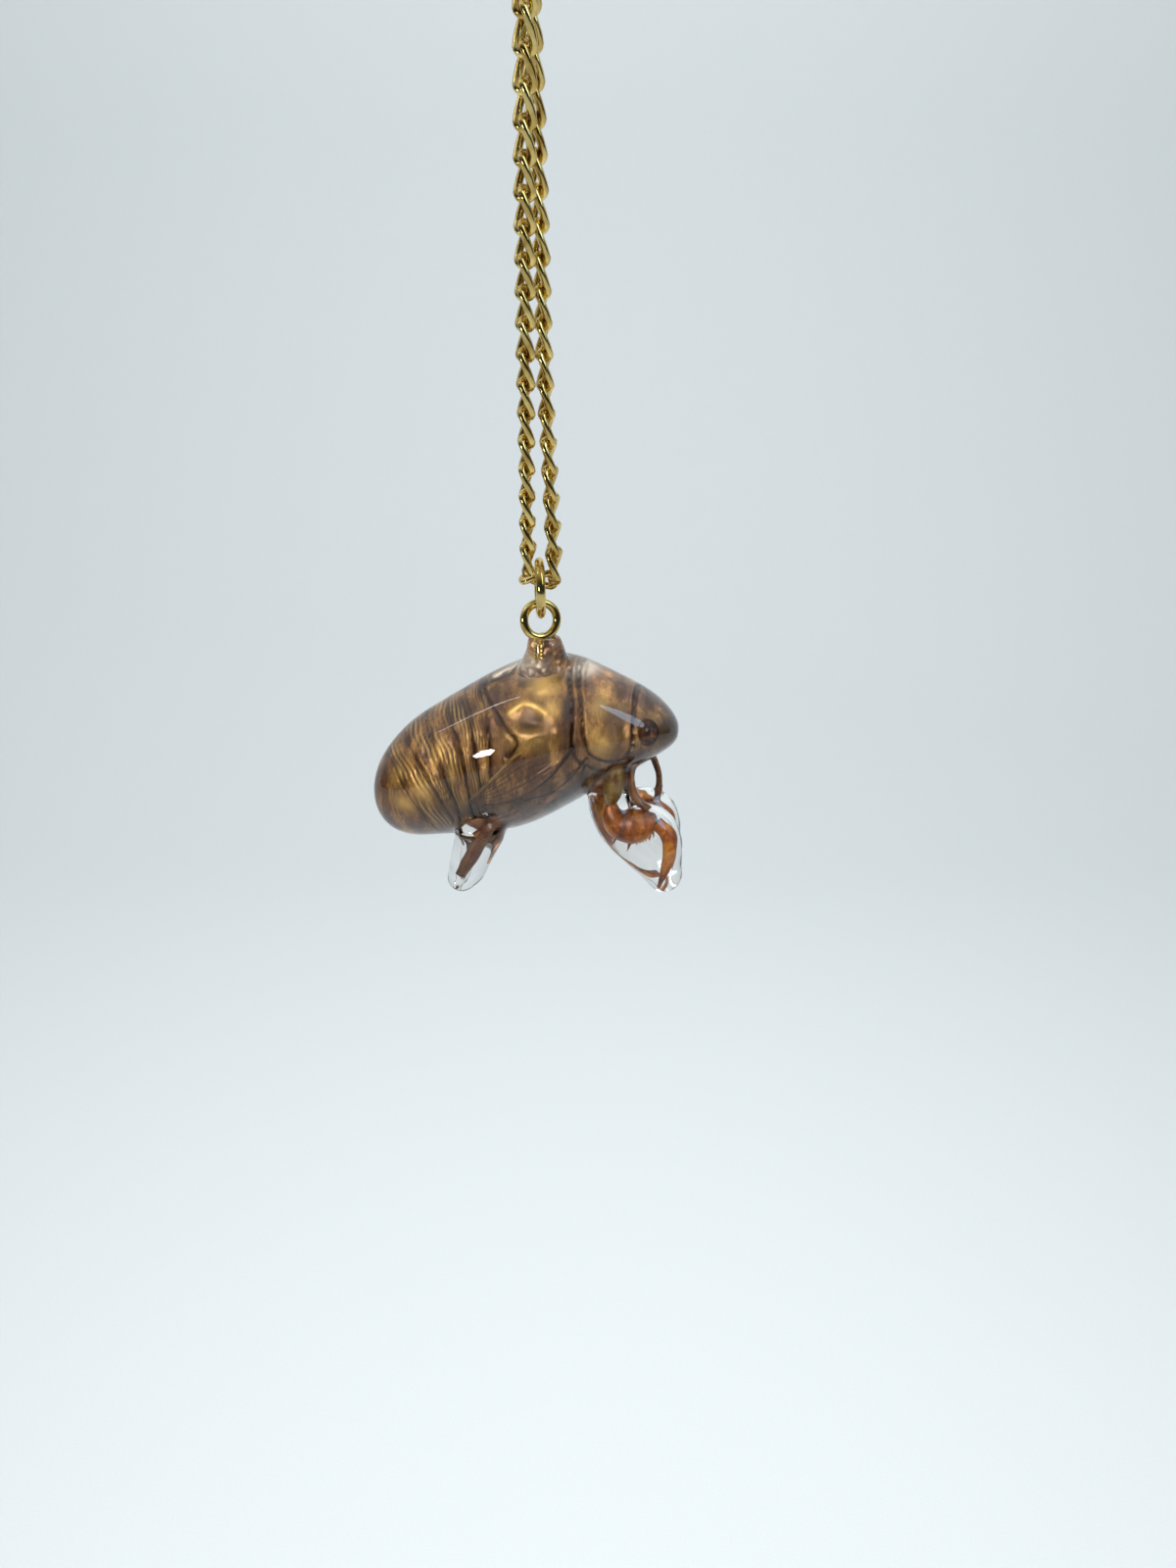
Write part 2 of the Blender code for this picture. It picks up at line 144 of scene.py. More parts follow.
def copied(piece, name, matrix):
    """A copy with a mesh of its own, moved by the matrix."""
    twin = bpy.data.objects.new(name, piece.data.copy())
    twin.data.name = name
    bpy.context.scene.collection.objects.link(twin)
    twin.data.transform(matrix)
    return twin


def joined(name, *pieces):
    pick(*pieces)
    bpy.ops.object.join()
    return new_piece(name)


def smooth(piece, angle):
    pick(piece)
    bpy.ops.object.shade_smooth_by_angle(angle=math.radians(angle))


def dress(piece, material):
    """Gives the piece this one material."""
    piece.data.materials.clear()
    piece.data.materials.append(material)


# %% [markdown]
# ## Materials bench
# Colours are picked as sRGB hex values, as an eye dropper gives them, and shaders want linear
# light, so one function converts them. A second one adds a node with its settings and links, and
# a few more build on it for noise of a real size, a range, a bump and a ramp.

# %% Node helpers
def linear(colour):
    """An sRGB hex colour as linear red, green, blue and alpha."""
    parts = [int(colour[i : i + 2], 16) / 255 for i in (1, 3, 5)]
    return tuple(p / 12.92 if p <= 0.04045 else ((p + 0.055) / 1.055) ** 2.4 for p in parts) + (1.0,)


def add_node(tree, kind, settings=None, links=None):
    """Adds a node, sets its properties and sockets, and links other nodes' outputs into it."""
    node = tree.nodes.new(kind)
    for key, value in (settings or {}).items():
        if key in node.inputs:
            node.inputs[key].default_value = value
        else:
            setattr(node, key, value)
    for key, output in (links or {}).items():
        tree.links.new(output, node.inputs[key])
    return node


def new_material(name):
    """An empty material with its tree, its Principled shader and that shader's output node."""
    material = bpy.data.materials.new(name)
    material.use_nodes = True
    tree = material.node_tree
    return material, tree, tree.nodes["Principled BSDF"], tree.nodes["Material Output"]


def noise(tree, place, size, detail, roughness=0.5):
    """Noise whose largest patches have this real size, in metres."""
    settings = {"Scale": 1 / size, "Detail": detail, "Roughness": roughness}
    return add_node(tree, "ShaderNodeTexNoise", settings, {"Vector": place})


def between(tree, factor, low, high):
    """A value that goes from low to high with the factor."""
    span = add_node(tree, "ShaderNodeMapRange", {"To Min": low, "To Max": high}, {"Value": factor})
    return span.outputs["Result"]


def bump(tree, height, strength, distance):
    """A slope from this height, as a normal."""
    settings = {"Strength": strength, "Distance": distance}
    return add_node(tree, "ShaderNodeBump", settings, {"Height": height}).outputs["Normal"]


def colour_ramp(tree, factor, stops):
    """A ramp from (place, hex colour) stops, driven by a factor."""
    ramp = add_node(tree, "ShaderNodeValToRGB", links={"Fac": factor})
    while len(ramp.color_ramp.elements) < len(stops):
        ramp.color_ramp.elements.new(0.5)
    for element, (place, colour) in zip(ramp.color_ramp.elements, stops):
        element.position, element.color = place, linear(colour)
    return ramp.outputs["Color"]


# %% [markdown]
# ## Gold-plated brass
# The chain and the rings are drawn brass wire with a polished gold plate. A metal's colour is
# its mirror tint, so it stays even, and the life comes from tiny draw lines and handling marks
# that change only the roughness and the slope.

# %% Gold plate
PLATE_MARKS = 0.18 * MM  # size of the handling marks
TARNISH_CLOUDS = MM / 0.7  # size of the duller patches


def make_gold(name, colour, tarnish):
    material, tree, shader, _ = new_material(name)
    place = add_node(tree, "ShaderNodeTexCoord").outputs["Object"]
    marks = noise(tree, place, PLATE_MARKS, 3.0)
    clouds = noise(tree, place, TARNISH_CLOUDS, 2.0)
    tint = colour_ramp(tree, clouds.outputs["Fac"], [(0.3, tarnish), (0.62, colour)])
    tree.links.new(tint, shader.inputs["Base Color"])
    tree.links.new(between(tree, marks.outputs["Fac"], 0.10, 0.24), shader.inputs["Roughness"])
    tree.links.new(bump(tree, marks.outputs["Fac"], 0.15, 0.01 * MM), shader.inputs["Normal"])
    shader.inputs["Metallic"].default_value = 1.0
    return material


gold = make_gold("gold_plated_brass_polished", "#ebd084", "#b5924a")


# %% [markdown]
# ## One link of the curb chain
# A curb link is a round wire loop, stretched and then twisted by about a quarter turn so that
# each one lies flat against its neighbours. It could be a curve with a bevel. Here it is a
# torus: its two halves are pulled apart, the straight sides are cut into short lengths, and a
# twist turns one end against the other.

# %% Model the link
LINK_WIRE = 0.72  # mm
LINK_HALF_LENGTH = 1.62
LINK_HALF_WIDTH = 0.75
LINK_TWIST = math.radians(-50)  # either way from the middle
LINK_CUTS = (-0.66, -0.33, 0.33, 0.66)  # shares of the straight side


def pull_halves_apart(piece, reach):
    """Moves the upper half of a loop up and its lower half down."""
    for sign in (1, -1):
        bpy.ops.object.mode_set(mode="EDIT")
        bpy.ops.mesh.select_all(action="DESELECT")
        bpy.ops.object.mode_set(mode="OBJECT")
        for vertex in piece.data.vertices:
            vertex.select = vertex.co.z * sign > 0.02
        bpy.ops.object.mode_set(mode="EDIT")
        bpy.ops.transform.translate(value=(0.0, 0.0, sign * reach))
        bpy.ops.object.mode_set(mode="OBJECT")


def cut_level(piece, height):
    """A ring of new edges all round the piece at this height."""
    bpy.ops.object.mode_set(mode="EDIT")
    bpy.ops.mesh.select_all(action="SELECT")
    bpy.ops.mesh.bisect(plane_co=(0.0, 0.0, height), plane_no=(0.0, 0.0, 1.0))
    bpy.ops.object.mode_set(mode="OBJECT")


deselect()
bpy.ops.mesh.primitive_torus_add(
    major_segments=24,
    minor_segments=10,
    major_radius=LINK_HALF_WIDTH,
    minor_radius=LINK_WIRE / 2,
    rotation=(math.pi / 2, 0.0, 0.0),
)
link = settle(new_piece("link"))
pick(link)
straight = LINK_HALF_LENGTH - LINK_HALF_WIDTH
pull_halves_apart(link, straight)
for step in LINK_CUTS:
    cut_level(link, step * straight)
outer = LINK_HALF_LENGTH + LINK_WIRE / 2
modify(
    link,
    "SIMPLE_DEFORM",
    deform_method="TWIST",
    deform_axis="Z",
    angle=2 * LINK_TWIST * outer / LINK_HALF_LENGTH,
)
smooth(link, 60)
link.data.materials.append(gold)
print("link:", len(link.data.polygons), "faces")


# %% [markdown]
# ## Forty-two links in place
# The chain goes up from the jump ring on two sides, with one link lying across at each end. Each
# link takes its middle from its own solid, and its turn from the way the strands twist. Only the
# lowest one is let down a little, so that its wire, thicker than the solid's, clears the ring.

# %% Place the links
LINKS_PER_STRAND = 20
LOWEST_LINK_DROP = 0.4  # mm
STRAND_TURNS = {2: (-8, 38), 23: (-4, 46)}  # first link of each strand: turn at its foot and head


def link_matrix(number, normal, along):
    """From the link's own axes to its place, at the middle of its solid."""
    low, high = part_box(f"chain_link_{number:02d}")
    axes = Matrix((normal.cross(along), normal, along)).transposed().to_4x4()
    return Matrix.Translation((low + high) / 2) @ axes @ Matrix.Scale(MM, 4)


slope = math.sqrt(0.5)
places = {
    1: link_matrix(1, Vector((0, -slope, -slope)), Vector((1, 0, 0))),
    22: link_matrix(22, Vector((-slope, 0, slope)), Vector((0, 1, 0))),
}
for first, (foot, head) in STRAND_TURNS.items():
    for i in range(LINKS_PER_STRAND):
        a = math.radians(foot + (head - foot) * i / (LINKS_PER_STRAND - 1))
        facing = Vector((math.cos(a), math.sin(a), 0))
        places[first + i] = link_matrix(first + i, facing, Vector((0, 0, 1)))
places[1] = Matrix.Translation((0, 0, -LOWEST_LINK_DROP * MM)) @ places[1]
for number, matrix in sorted(places.items()):
    piece = copied(link, f"curb_link_{number:02d}", matrix)
    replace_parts(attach(piece, "chain"), f"chain_link_{number:02d}")
bpy.data.objects.remove(link)
print("placed", len(places), "links")


# %% [markdown]
# ## The rings
# The jump ring is a round of the same wire, cut once so that it can be opened and pressed shut.
# The cut still shows as a fine line. The ring at the top, outside the photo, is its twin, and
# the eye is a smaller round on a pin.

# %% Rings
RING_RADIUS = 2.51  # mm, to the middle of the wire
RING_WIRE = 0.91
RING_TURN = math.radians(5)
EYE_RADIUS = 1.71
EYE_WIRE = 0.85
EYE_TURN = math.radians(22)
CUT_GAP = 0.035


def wire_ring(name, radius, wire, cut_angle):
    """An upright round of wire, pressed shut at the cut."""
    deselect()
    bpy.ops.mesh.primitive_torus_add(
        major_segments=72,
        minor_segments=20,
        major_radius=radius,
        minor_radius=wire / 2,
        rotation=(math.pi / 2, 0.0, 0.0),
    )
    ring = settle(new_piece(name))
    if cut_angle is not None:
        deselect()
        bpy.ops.mesh.primitive_cube_add(
            size=1.0,
            location=Vector((math.cos(cut_angle), 0.0, math.sin(cut_angle))) * radius,
            rotation=(0.0, -cut_angle, 0.0),
            scale=(wire * 1.5, wire * 1.5, CUT_GAP),
        )
        saw = new_piece("saw")
        modify(ring, "BOOLEAN", operation="DIFFERENCE", object=saw, solver="EXACT")
        bpy.data.objects.remove(saw)
        print(name, "is cut at", round(math.degrees(cut_angle)), "degrees")
    smooth(ring, 35)
    ring.data.materials.append(gold)
    return ring


def ring_matrix(height, *turns):
    matrix = Matrix.Translation((0.0, 0.0, height))
    for turn_step in turns:
        matrix = matrix @ turn_step
    return matrix @ Matrix.Scale(MM, 4)


for name, rides_on, cut, turns in (
    ("jump_ring", "jump_ring", 200, [Matrix.Rotation(math.pi / 2 + RING_TURN, 4, "Z")]),
    ("top_ring", "chain", 70, []),
):
    low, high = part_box(name)
    ring = wire_ring(name + "_wire", RING_RADIUS, RING_WIRE, math.radians(cut))
    ring.data.transform(ring_matrix((low.z + high.z) / 2, *turns))
    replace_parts(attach(ring, rides_on), name)


# %% [markdown]
# ## The eye and its pin
# The eye is the head of a tiny screw pin that was pushed into the insect's back before the resin
# set. Only its first turns of thread show. A cylinder is extruded in short steps and every other
# step is made wider, which gives the thread its ridges.

# %% Eye
PIN_RADIUS = 0.42
PIN_LENGTH = 2.9
THREAD = 0.42  # mm from one turn to the next
THREAD_ROOT = 0.78  # of the full width

eye = wire_ring("eye_wire", EYE_RADIUS, EYE_WIRE, None)
eye.data.transform(
    ring_matrix(EYE_HEIGHT * MM, Matrix.Rotation(EYE_TURN, 4, "Z"), Matrix.Rotation(ROLL, 4, "X"))
)
deselect()
bpy.ops.mesh.primitive_circle_add(vertices=20, radius=PIN_RADIUS, fill_type="NGON")
pin = new_piece("pin")
bpy.ops.object.mode_set(mode="EDIT")
bpy.ops.mesh.select_all(action="SELECT")
turns_of_thread = int(PIN_LENGTH / THREAD)
for i in range(turns_of_thread * 2):
    bpy.ops.mesh.extrude_region_move(TRANSFORM_OT_translate={"value": (0, 0, -THREAD / 2)})
    share = THREAD_ROOT if i % 2 == 0 else 1 / THREAD_ROOT
    bpy.ops.transform.resize(value=(share, share, 1))
bpy.ops.mesh.select_all(action="SELECT")
bpy.ops.mesh.normals_make_consistent(inside=False)
bpy.ops.object.mode_set(mode="OBJECT")
modify(pin, "BEVEL", width=0.05, segments=2, limit_method="ANGLE")
pin_top = EYE_HEIGHT - EYE_RADIUS * math.cos(ROLL) - 0.1
pin.data.transform(Matrix.Scale(MM, 4) @ Matrix.Translation((0.0, -0.4, pin_top)))
smooth(pin, 50)
pin.data.materials.append(gold)
eye = joined("eye_pin", eye, pin)
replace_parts(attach(eye, "pendant"), "eye")
print("eye:", len(eye.data.polygons), "faces")


# %% [markdown]
# ## How a body is drawn out
# The insect and its coat are both long ovals whose sections lean and change size. As a
# woodturner would, start with one round section and draw it out: extrude, move, turn and resize
# it at every station, and close both ends.

# %% Draw a body out through its sections
def lean_of(section):
    """How far a section leans back, as an angle about y."""
    top_x, top_z, bottom_x, bottom_z, _ = section
    return math.atan2(top_x - bottom_x, top_z - bottom_z)


def middle_of(section):
    return Vector(((section[0] + section[2]) / 2, 0.0, (section[1] + section[3]) / 2))


def half_height_of(section):
    return math.hypot(section[0] - section[2], section[1] - section[3]) / 2


def turn_section(angle, centre):
    """Turns the selected section about y. With no window this operator turns the other way."""
    bpy.ops.transform.rotate(value=-angle, orient_axis="Y", center_override=centre)


BODY_SIDES = 28


def drawn_out(name, sections):
    """A closed body through (top x, top z, bottom x, bottom z, half width) sections, in mm."""
    deselect()
    bpy.ops.mesh.primitive_circle_add(
        vertices=BODY_SIDES, radius=1.0, rotation=(0.0, math.pi / 2, 0.0)
    )
    body = settle(new_piece(name))
    bpy.ops.object.mode_set(mode="EDIT")
    bpy.ops.mesh.select_all(action="SELECT")
    bpy.ops.mesh.edge_face_add()
    here, lean, half_height, half_width = Vector((0, 0, 0)), 0.0, 1.0, 1.0
    for i, section in enumerate(sections):
        centre = middle_of(section)
        if i == 0:
            bpy.ops.transform.translate(value=centre)
        else:
            bpy.ops.mesh.extrude_region_move(TRANSFORM_OT_translate={"value": centre - here})
            turn_section(-lean, centre)
        new_height, new_width = half_height_of(section), section[4]
        bpy.ops.transform.resize(
            value=(1.0, new_width / half_width, new_height / half_height), center_override=centre
        )
        turn_section(lean_of(section), centre)
        here, lean, half_height, half_width = centre, lean_of(section), new_height, new_width
    bpy.ops.mesh.select_all(action="SELECT")
    bpy.ops.mesh.normals_make_consistent(inside=False)
    bpy.ops.object.mode_set(mode="OBJECT")
    return body


# %% [markdown]
# ## How a limb is drawn
# A leg or a drip is a round bar that follows a few joints and swells and thins on its way. A
# poly curve with a round bevel does that, each point with its own radius, and is then turned
# into a mesh.

# %% Draw a limb through its joints
def limb(name, stations, sides=4):
    """A round bar through (x, y, z, radius) stations in mm, smoothed by a spline."""
    deselect()
    bpy.ops.curve.primitive_bezier_curve_add()
    bar = new_piece(name)
    spline = bar.data.splines[0]
    spline.bezier_points.add(len(stations) - 2)
    for point, (x, y, z, radius) in zip(spline.bezier_points, stations):
        point.co, point.radius = (x, y, z), radius
        point.handle_left_type = point.handle_right_type = "AUTO"
    spline.resolution_u = 10
    bar.data.bevel_depth = 1.0
    bar.data.bevel_resolution = sides
    bar.data.use_fill_caps = True
    pick(bar)
    bpy.ops.object.convert(target="MESH")
    return settle(new_piece(name))


def ball(name, centre, radii):
    """A rounded lump, for a joint or an eye."""
    deselect()
    bpy.ops.mesh.primitive_uv_sphere_add(
        segments=48, ring_count=24, radius=1.0, location=centre, scale=radii
    )
    return settle(new_piece(name))


# %% [markdown]
# ## The clear coat
# The maker brushed resin on in layers until it ran together. It lies about a millimetre over most
# of the body, gathers in a neck round the eye's pin, and hangs in drips on the legs. The body,
# neck and drips are drawn as separate forms, melted into one skin by a voxel remesh, and smoothed
# as surface tension does.

# %% Resin forms
COAT_SECTIONS = (
    (-17.6, -17.2, -17.4, -19.3, 1.3),
    (-17.1, -15.2, -17.1, -21.0, 3.0),
    (-15.7, -12.8, -15.7, -22.7, 4.6),
    (-13.2, -10.2, -13.2, -23.4, 5.9),
    (-9.6, -7.8, -9.6, -22.9, 6.9),
    (-5.0, -4.9, -5.0, -22.3, 7.8),
    (-0.5, -2.8, -0.5, -21.1, 8.2),
    (3.6, -2.7, 3.6, -18.6, 8.1),
    (7.4, -4.2, 7.4, -16.1, 7.4),
    (10.2, -5.4, 10.2, -14.4, 6.4),
    (12.4, -6.7, 12.4, -12.8, 4.9),
    (14.0, -8.3, 14.0, -11.6, 3.0),
    (14.65, -9.5, 14.65, -10.7, 1.1),
)
NECK = (
    (0.9, -2.0, -6.2, 3.6),
    (1.0, -2.4, -4.2, 3.0),
    (1.0, -2.7, -3.0, 2.35),
    (1.0, -2.9, -2.0, 1.95),
    (0.9, -3.05, -1.4, 1.8),
    (0.9, -3.2, -0.8, 1.7),
)
FORELEG_DRIP = (
    (8.3, -3.4, -14.6, 2.0),
    (8.0, -3.4, -16.6, 2.1),
    (8.7, -3.6, -18.7, 2.2),
    (10.3, -3.6, -20.4, 2.5),
    (12.3, -3.6, -22.0, 2.5),
    (13.5, -3.6, -23.4, 2.2),
    (14.2, -3.6, -24.4, 1.9),
)
TIBIA_DRIP = (
    (11.0, -3.6, -19.8, 2.5),
    (12.6, -3.6, -19.7, 2.6),
    (13.4, -3.6, -20.9, 2.5),
    (13.8, -3.6, -22.8, 2.3),
    (14.2, -3.6, -24.3, 1.9),
)
HIND_DRIP = (
    (-5.1, -4.2, -21.2, 2.6),
    (-5.9, -4.5, -23.8, 2.2),
    (-6.5, -4.5, -25.6, 2.0),
    (-6.9, -4.5, -26.3, 1.6),
)
HEAD_STRAND = (
    (10.2, -3.2, -13.0, 0.6),
    (10.3, -3.4, -15.2, 0.55),
    (10.9, -3.6, -16.6, 0.55),
    (12.2, -3.6, -18.0, 0.65),
)
FAR_STRAND = ((11.6, 2.6, -12.8, 0.5), (12.7, 2.8, -15.9, 0.45), (12.5, 2.8, -18.6, 0.55))
FAR_SIDE_SHIFT = -0.7  # mm, the far legs sit a little further back


def far_side(stations):
    """The same stations mirrored to the far side."""
    return tuple((x + FAR_SIDE_SHIFT, -y, z, *rest) for x, y, z, *rest in stations)


def on_side(stations, side):
    """The stations as they are for side 1, mirrored for side -1."""
    return stations if side > 0 else far_side(stations)


def between_sections(sections):
    """The same sections with one more halfway between each two."""
    finer = []
    last = len(sections) - 1
    for i, section in enumerate(sections[:-1]):
        four = [sections[max(i - 1, 0)], section, sections[i + 1], sections[min(i + 2, last)]]
        halfway = [(9 * (b + c) - (a + d)) / 16 for a, b, c, d in zip(*four)]
        finer += [section, tuple(halfway)]
    return finer + [sections[-1]]


def drip(name, stations):
    """A round bar whose end is a full drop."""
    *_, (x, y, z, radius) = stations
    start = stations[0]
    return [
        limb(name, stations),
        ball(name + "_end", (x, y, z), (radius,) * 3),
        ball(name + "_start", start[:3], (start[3],) * 3),
    ]


# %% [markdown]
# ## Melting the forms together
# Wet resin has no joints. The remesh turns all the overlapping forms into one closed skin of
# small squares, and the smoothing rounds the hollows where a drip leaves the body.

# %% Melt the forms into one clear coat
MELT_VOXEL = 0.22  # mm
DRIPS = {"foreleg": FORELEG_DRIP, "tibia": TIBIA_DRIP, "hind": HIND_DRIP}

body = drawn_out("coat", between_sections(COAT_SECTIONS))
modify(body, "SUBSURF", levels=3, render_levels=3)
forms = [body, limb("neck", NECK)]
for name, stations in DRIPS.items():
    forms += drip(name, stations) + drip(name + "_far", far_side(stations))
forms += [limb("head_strand", HEAD_STRAND), limb("far_strand", FAR_STRAND)]
coat = joined("resin_coat", *forms)
modify(coat, "REMESH", mode="VOXEL", voxel_size=MELT_VOXEL)
modify(coat, "SMOOTH", factor=0.5, iterations=26)
smooth(coat, 180)
coat.data.transform(PENDANT)
print("coat:", len(coat.data.polygons), "faces")


# %% [markdown]
# ## Clear resin
# A cast coat of clear epoxy or UV resin: colourless, glass smooth, with an IOR of about 1.5. It is
# plain transmission. A faint warm absorption shows only where the coat is thick.

# %% Resin material
RESIN_IOR = 1.5
RESIN_POLISH = 0.015  # roughness
RESIN_TINT = 14.0  # absorption per metre
resin, tree, shader, output = new_material("clear_epoxy_resin_cast")
shader.inputs["Base Color"].default_value = linear("#ffffff")
shader.inputs["Transmission Weight"].default_value = 1.0
shader.inputs["IOR"].default_value = RESIN_IOR
shader.inputs["Roughness"].default_value = RESIN_POLISH
tint = add_node(
    tree, "ShaderNodeVolumeAbsorption", {"Color": linear("#f3e0c8"), "Density": RESIN_TINT}
)
tree.links.new(tint.outputs["Volume"], output.inputs["Volume"])
coat.data.materials.append(resin)
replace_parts(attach(coat, "pendant"), "resin_left", "resin_right")


# %% [markdown]
# ## The body of the shell
# The empty skin keeps every form of the nymph: a fat ringed abdomen, a humped thorax and a blunt
# head. Its sections lean, because the insect is bent. They are drawn out and subdivided until
# there is a vertex every fifth of a millimetre, fine enough to press seams into.

# %% Draw the body
SHELL_SECTIONS = (
    (-17.7, -19.2, -17.7, -19.9, 0.4),
    (-17.6, -18.1, -16.8, -20.7, 2.1),
    (-16.9, -16.2, -14.1, -22.3, 3.7),
    (-15.7, -14.2, -11.0, -22.3, 4.7),
    (-14.2, -12.4, -9.0, -22.1, 5.5),
    (-12.2, -10.6, -8.1, -22.0, 6.0),
    (-9.7, -8.9, -6.3, -21.8, 6.3),
    (-7.8, -7.7, -5.3, -21.6, 6.6),
    (-6.0, -6.7, -4.4, -21.4, 6.8),
    (-4.6, -5.9, -3.2, -21.1, 7.0),
    (-1.2, -4.3, -0.6, -20.3, 7.3),
    (3.3, -3.8, 3.3, -17.8, 7.2),
    (6.4, -4.8, 5.8, -16.2, 6.6),
    (9.3, -6.0, 8.6, -14.5, 5.8),
    (11.6, -7.3, 11.0, -12.9, 4.6),
    (13.2, -8.6, 12.8, -11.7, 3.0),
    (13.9, -9.9, 13.8, -10.7, 0.7),
)
skin = drawn_out("skin", between_sections(SHELL_SECTIONS))
modify(skin, "SUBSURF", levels=3, render_levels=3)
print("skin:", len(skin.data.polygons), "faces")


# %% [markdown]
# ## Pressing seams
# Plates of the skin meet in creases. To press one in, measure how far each vertex is from a line
# drawn on the side of the body, and move it along its normal. The same distance is kept as an
# attribute, so the material can darken the crease later.

# %% Press lines into the skin
def spline_points(line, steps=14):
    """A smooth line through a few x, z points."""
    points = np.array(line, float)
    padded = np.vstack([2 * points[0] - points[1], points, 2 * points[-1] - points[-2]])
    smooth_line = []
    for a, b, c, d in zip(padded, padded[1:], padded[2:], padded[3:]):
        square, cube = 2 * a - 5 * b + 4 * c - d, 3 * b - a - 3 * c + d
        for t in np.linspace(0, 1, steps, endpoint=False):
            smooth_line.append(0.5 * (2 * b + (c - a) * t + square * t**2 + cube * t**3))
    return np.array(smooth_line + [points[-1]])


def vertex_arrays(piece):
    """Places and normals of all vertices."""
    count = len(piece.data.vertices)
    places_flat, normals_flat = np.empty(count * 3), np.empty(count * 3)
    piece.data.vertices.foreach_get("co", places_flat)
    piece.data.vertices.foreach_get("normal", normals_flat)
    return places_flat.reshape(-1, 3), normals_flat.reshape(-1, 3)


def move_vertices(piece, places):
    piece.data.vertices.foreach_set("co", places.ravel())
    piece.data.update()


def paint_on(piece, name, strength):
    """Adds paint where it is stronger than what a vertex has already."""
    layer = piece.data.attributes.get(name) or piece.data.attributes.new(name, "FLOAT", "POINT")
    before = np.empty(len(piece.data.vertices))
    layer.data.foreach_get("value", before)
    layer.data.foreach_set("value", np.maximum(before, strength))


def distance_to(points, line):
    """Distance of every point to a line of x, z points, and the side of it that the point is on."""
    best = np.full(len(points), 1e9)
    side = np.zeros(len(points))
    for a, b in zip(line, line[1:]):
        run = b - a
        t = np.clip(((points - a) @ run) / max(run @ run, 1e-9), 0, 1)
        gap = points - (a + t[:, None] * run)
        distance = np.hypot(gap[:, 0], gap[:, 1])
        nearer = distance < best
        best[nearer] = distance[nearer]
        side[nearer] = np.sign(run[0] * gap[nearer, 1] - run[1] * gap[nearer, 0])
    return best, side


def press(piece, line, depth, width, lip=0.0, paint="seam", strength=1.0):
    """Presses a crease along a line, lifts a lip on its left side, and paints the crease."""
    co, normal = vertex_arrays(piece)
    distance, side = distance_to(co[:, [0, 2]], spline_points(line))
    crease = np.exp(-((distance / width) ** 2))
    edge = np.exp(-(((distance - 1.6 * width) / (1.3 * width)) ** 2)) * (side > 0)
    move_vertices(piece, co + normal * (lip * edge - depth * crease)[:, None])
    paint_on(piece, paint, crease * strength)


# %% [markdown]
# ## Wrinkles
# The skin dried after the insect left it, so it buckled in fine folds. Procedural textures push
# the surface in and out first, so that the seams pressed afterwards stay crisp.

# %% Wrinkle the skin
def wrinkle(piece, kind, size, strength, **settings):
    """Pushes the surface by a procedural texture of this size, in mm."""
    texture = bpy.data.textures.new("wrinkle", type=kind)
    texture.noise_scale = size
    for key, value in settings.items():
        setattr(texture, key, value)
    modify(
        piece, "DISPLACE", texture=texture, strength=strength, mid_level=0.5, texture_coords="LOCAL"
    )


wrinkle(skin, "CLOUDS", 2.4, 0.30, noise_depth=2)
wrinkle(skin, "CLOUDS", 0.7, 0.10, noise_depth=2)


# %% [markdown]
# ## Rings of the abdomen and plates of the thorax
# Each ring of the abdomen laps over the next one, so its edge is a dark crease with a raised lip.
# The thorax has a shield behind the head and a larger hump over the wings, split along the back
# where the insect came out.

# %% Press the seams
ABDOMEN_SEAMS = (
    ((-16.2, -13.6), (-15.4, -14.2), (-14.0, -15.1), (-12.4, -17.5), (-10.6, -20.0), (-9.4, -22.6)),
    ((-14.3, -11.5), (-13.4, -12.3), (-11.8, -13.6), (-9.7, -16.2), (-8.1, -19.1), (-7.3, -22.6)),
    ((-12.0, -9.6), (-11.2, -10.4), (-10.1, -11.7), (-8.8, -13.7), (-7.4, -17.4), (-6.5, -22.6)),
    ((-9.6, -7.8), (-9.0, -8.6), (-7.9, -10.1), (-6.6, -12.3), (-5.8, -16.0), (-5.2, -22.6)),
    ((-7.9, -6.7), (-7.2, -7.6), (-5.9, -9.2), (-5.0, -12.2), (-4.4, -16.0), (-4.0, -22.6)),
    ((-6.2, -5.9), (-5.6, -6.8), (-4.2, -8.7), (-3.5, -11.8), (-3.2, -16.0)),
)
SHIELD_SEAMS = (
    (
        *((3.9, -3.4), (4.6, -5.4), (5.2, -7.1), (5.6, -8.8), (5.8, -10.2)),
        *((6.4, -11.7), (8.0, -12.4), (9.5, -12.0), (10.2, -10.9)),
    ),
    ((10.2, -10.9), (10.3, -9.6), (10.2, -8.4), (9.9, -6.2)),
    (
        *((3.0, -3.4), (3.8, -5.4), (4.4, -7.1), (4.6, -9.0)),
        *((4.6, -10.8), (5.3, -12.4), (7.2, -13.4), (9.4, -13.0)),
    ),
)
HUMP_SEAMS = (
    ((-5.2, -6.6), (-4.7, -6.4), (-2.6, -5.4), (-0.7, -4.7), (3.0, -3.9)),
    ((-5.2, -6.5), (-3.9, -7.8), (-3.0, -8.6), (-2.2, -9.5), (-0.6, -10.9), (-1.6, -12.4)),
)
FLANK_SEAMS = (
    ((6.0, -13.0), (5.6, -14.6), (5.0, -16.4)),
    ((3.0, -15.0), (2.2, -16.8), (1.8, -18.8)),
    ((-1.0, -17.2), (-1.6, -18.6), (-1.8, -20.6)),
)
for seam in ABDOMEN_SEAMS:
    press(skin, seam[::-1], depth=0.20, width=0.11, lip=0.15, strength=0.9)
for seam in SHIELD_SEAMS + HUMP_SEAMS:
    press(skin, seam, depth=0.30, width=0.16, lip=0.12)
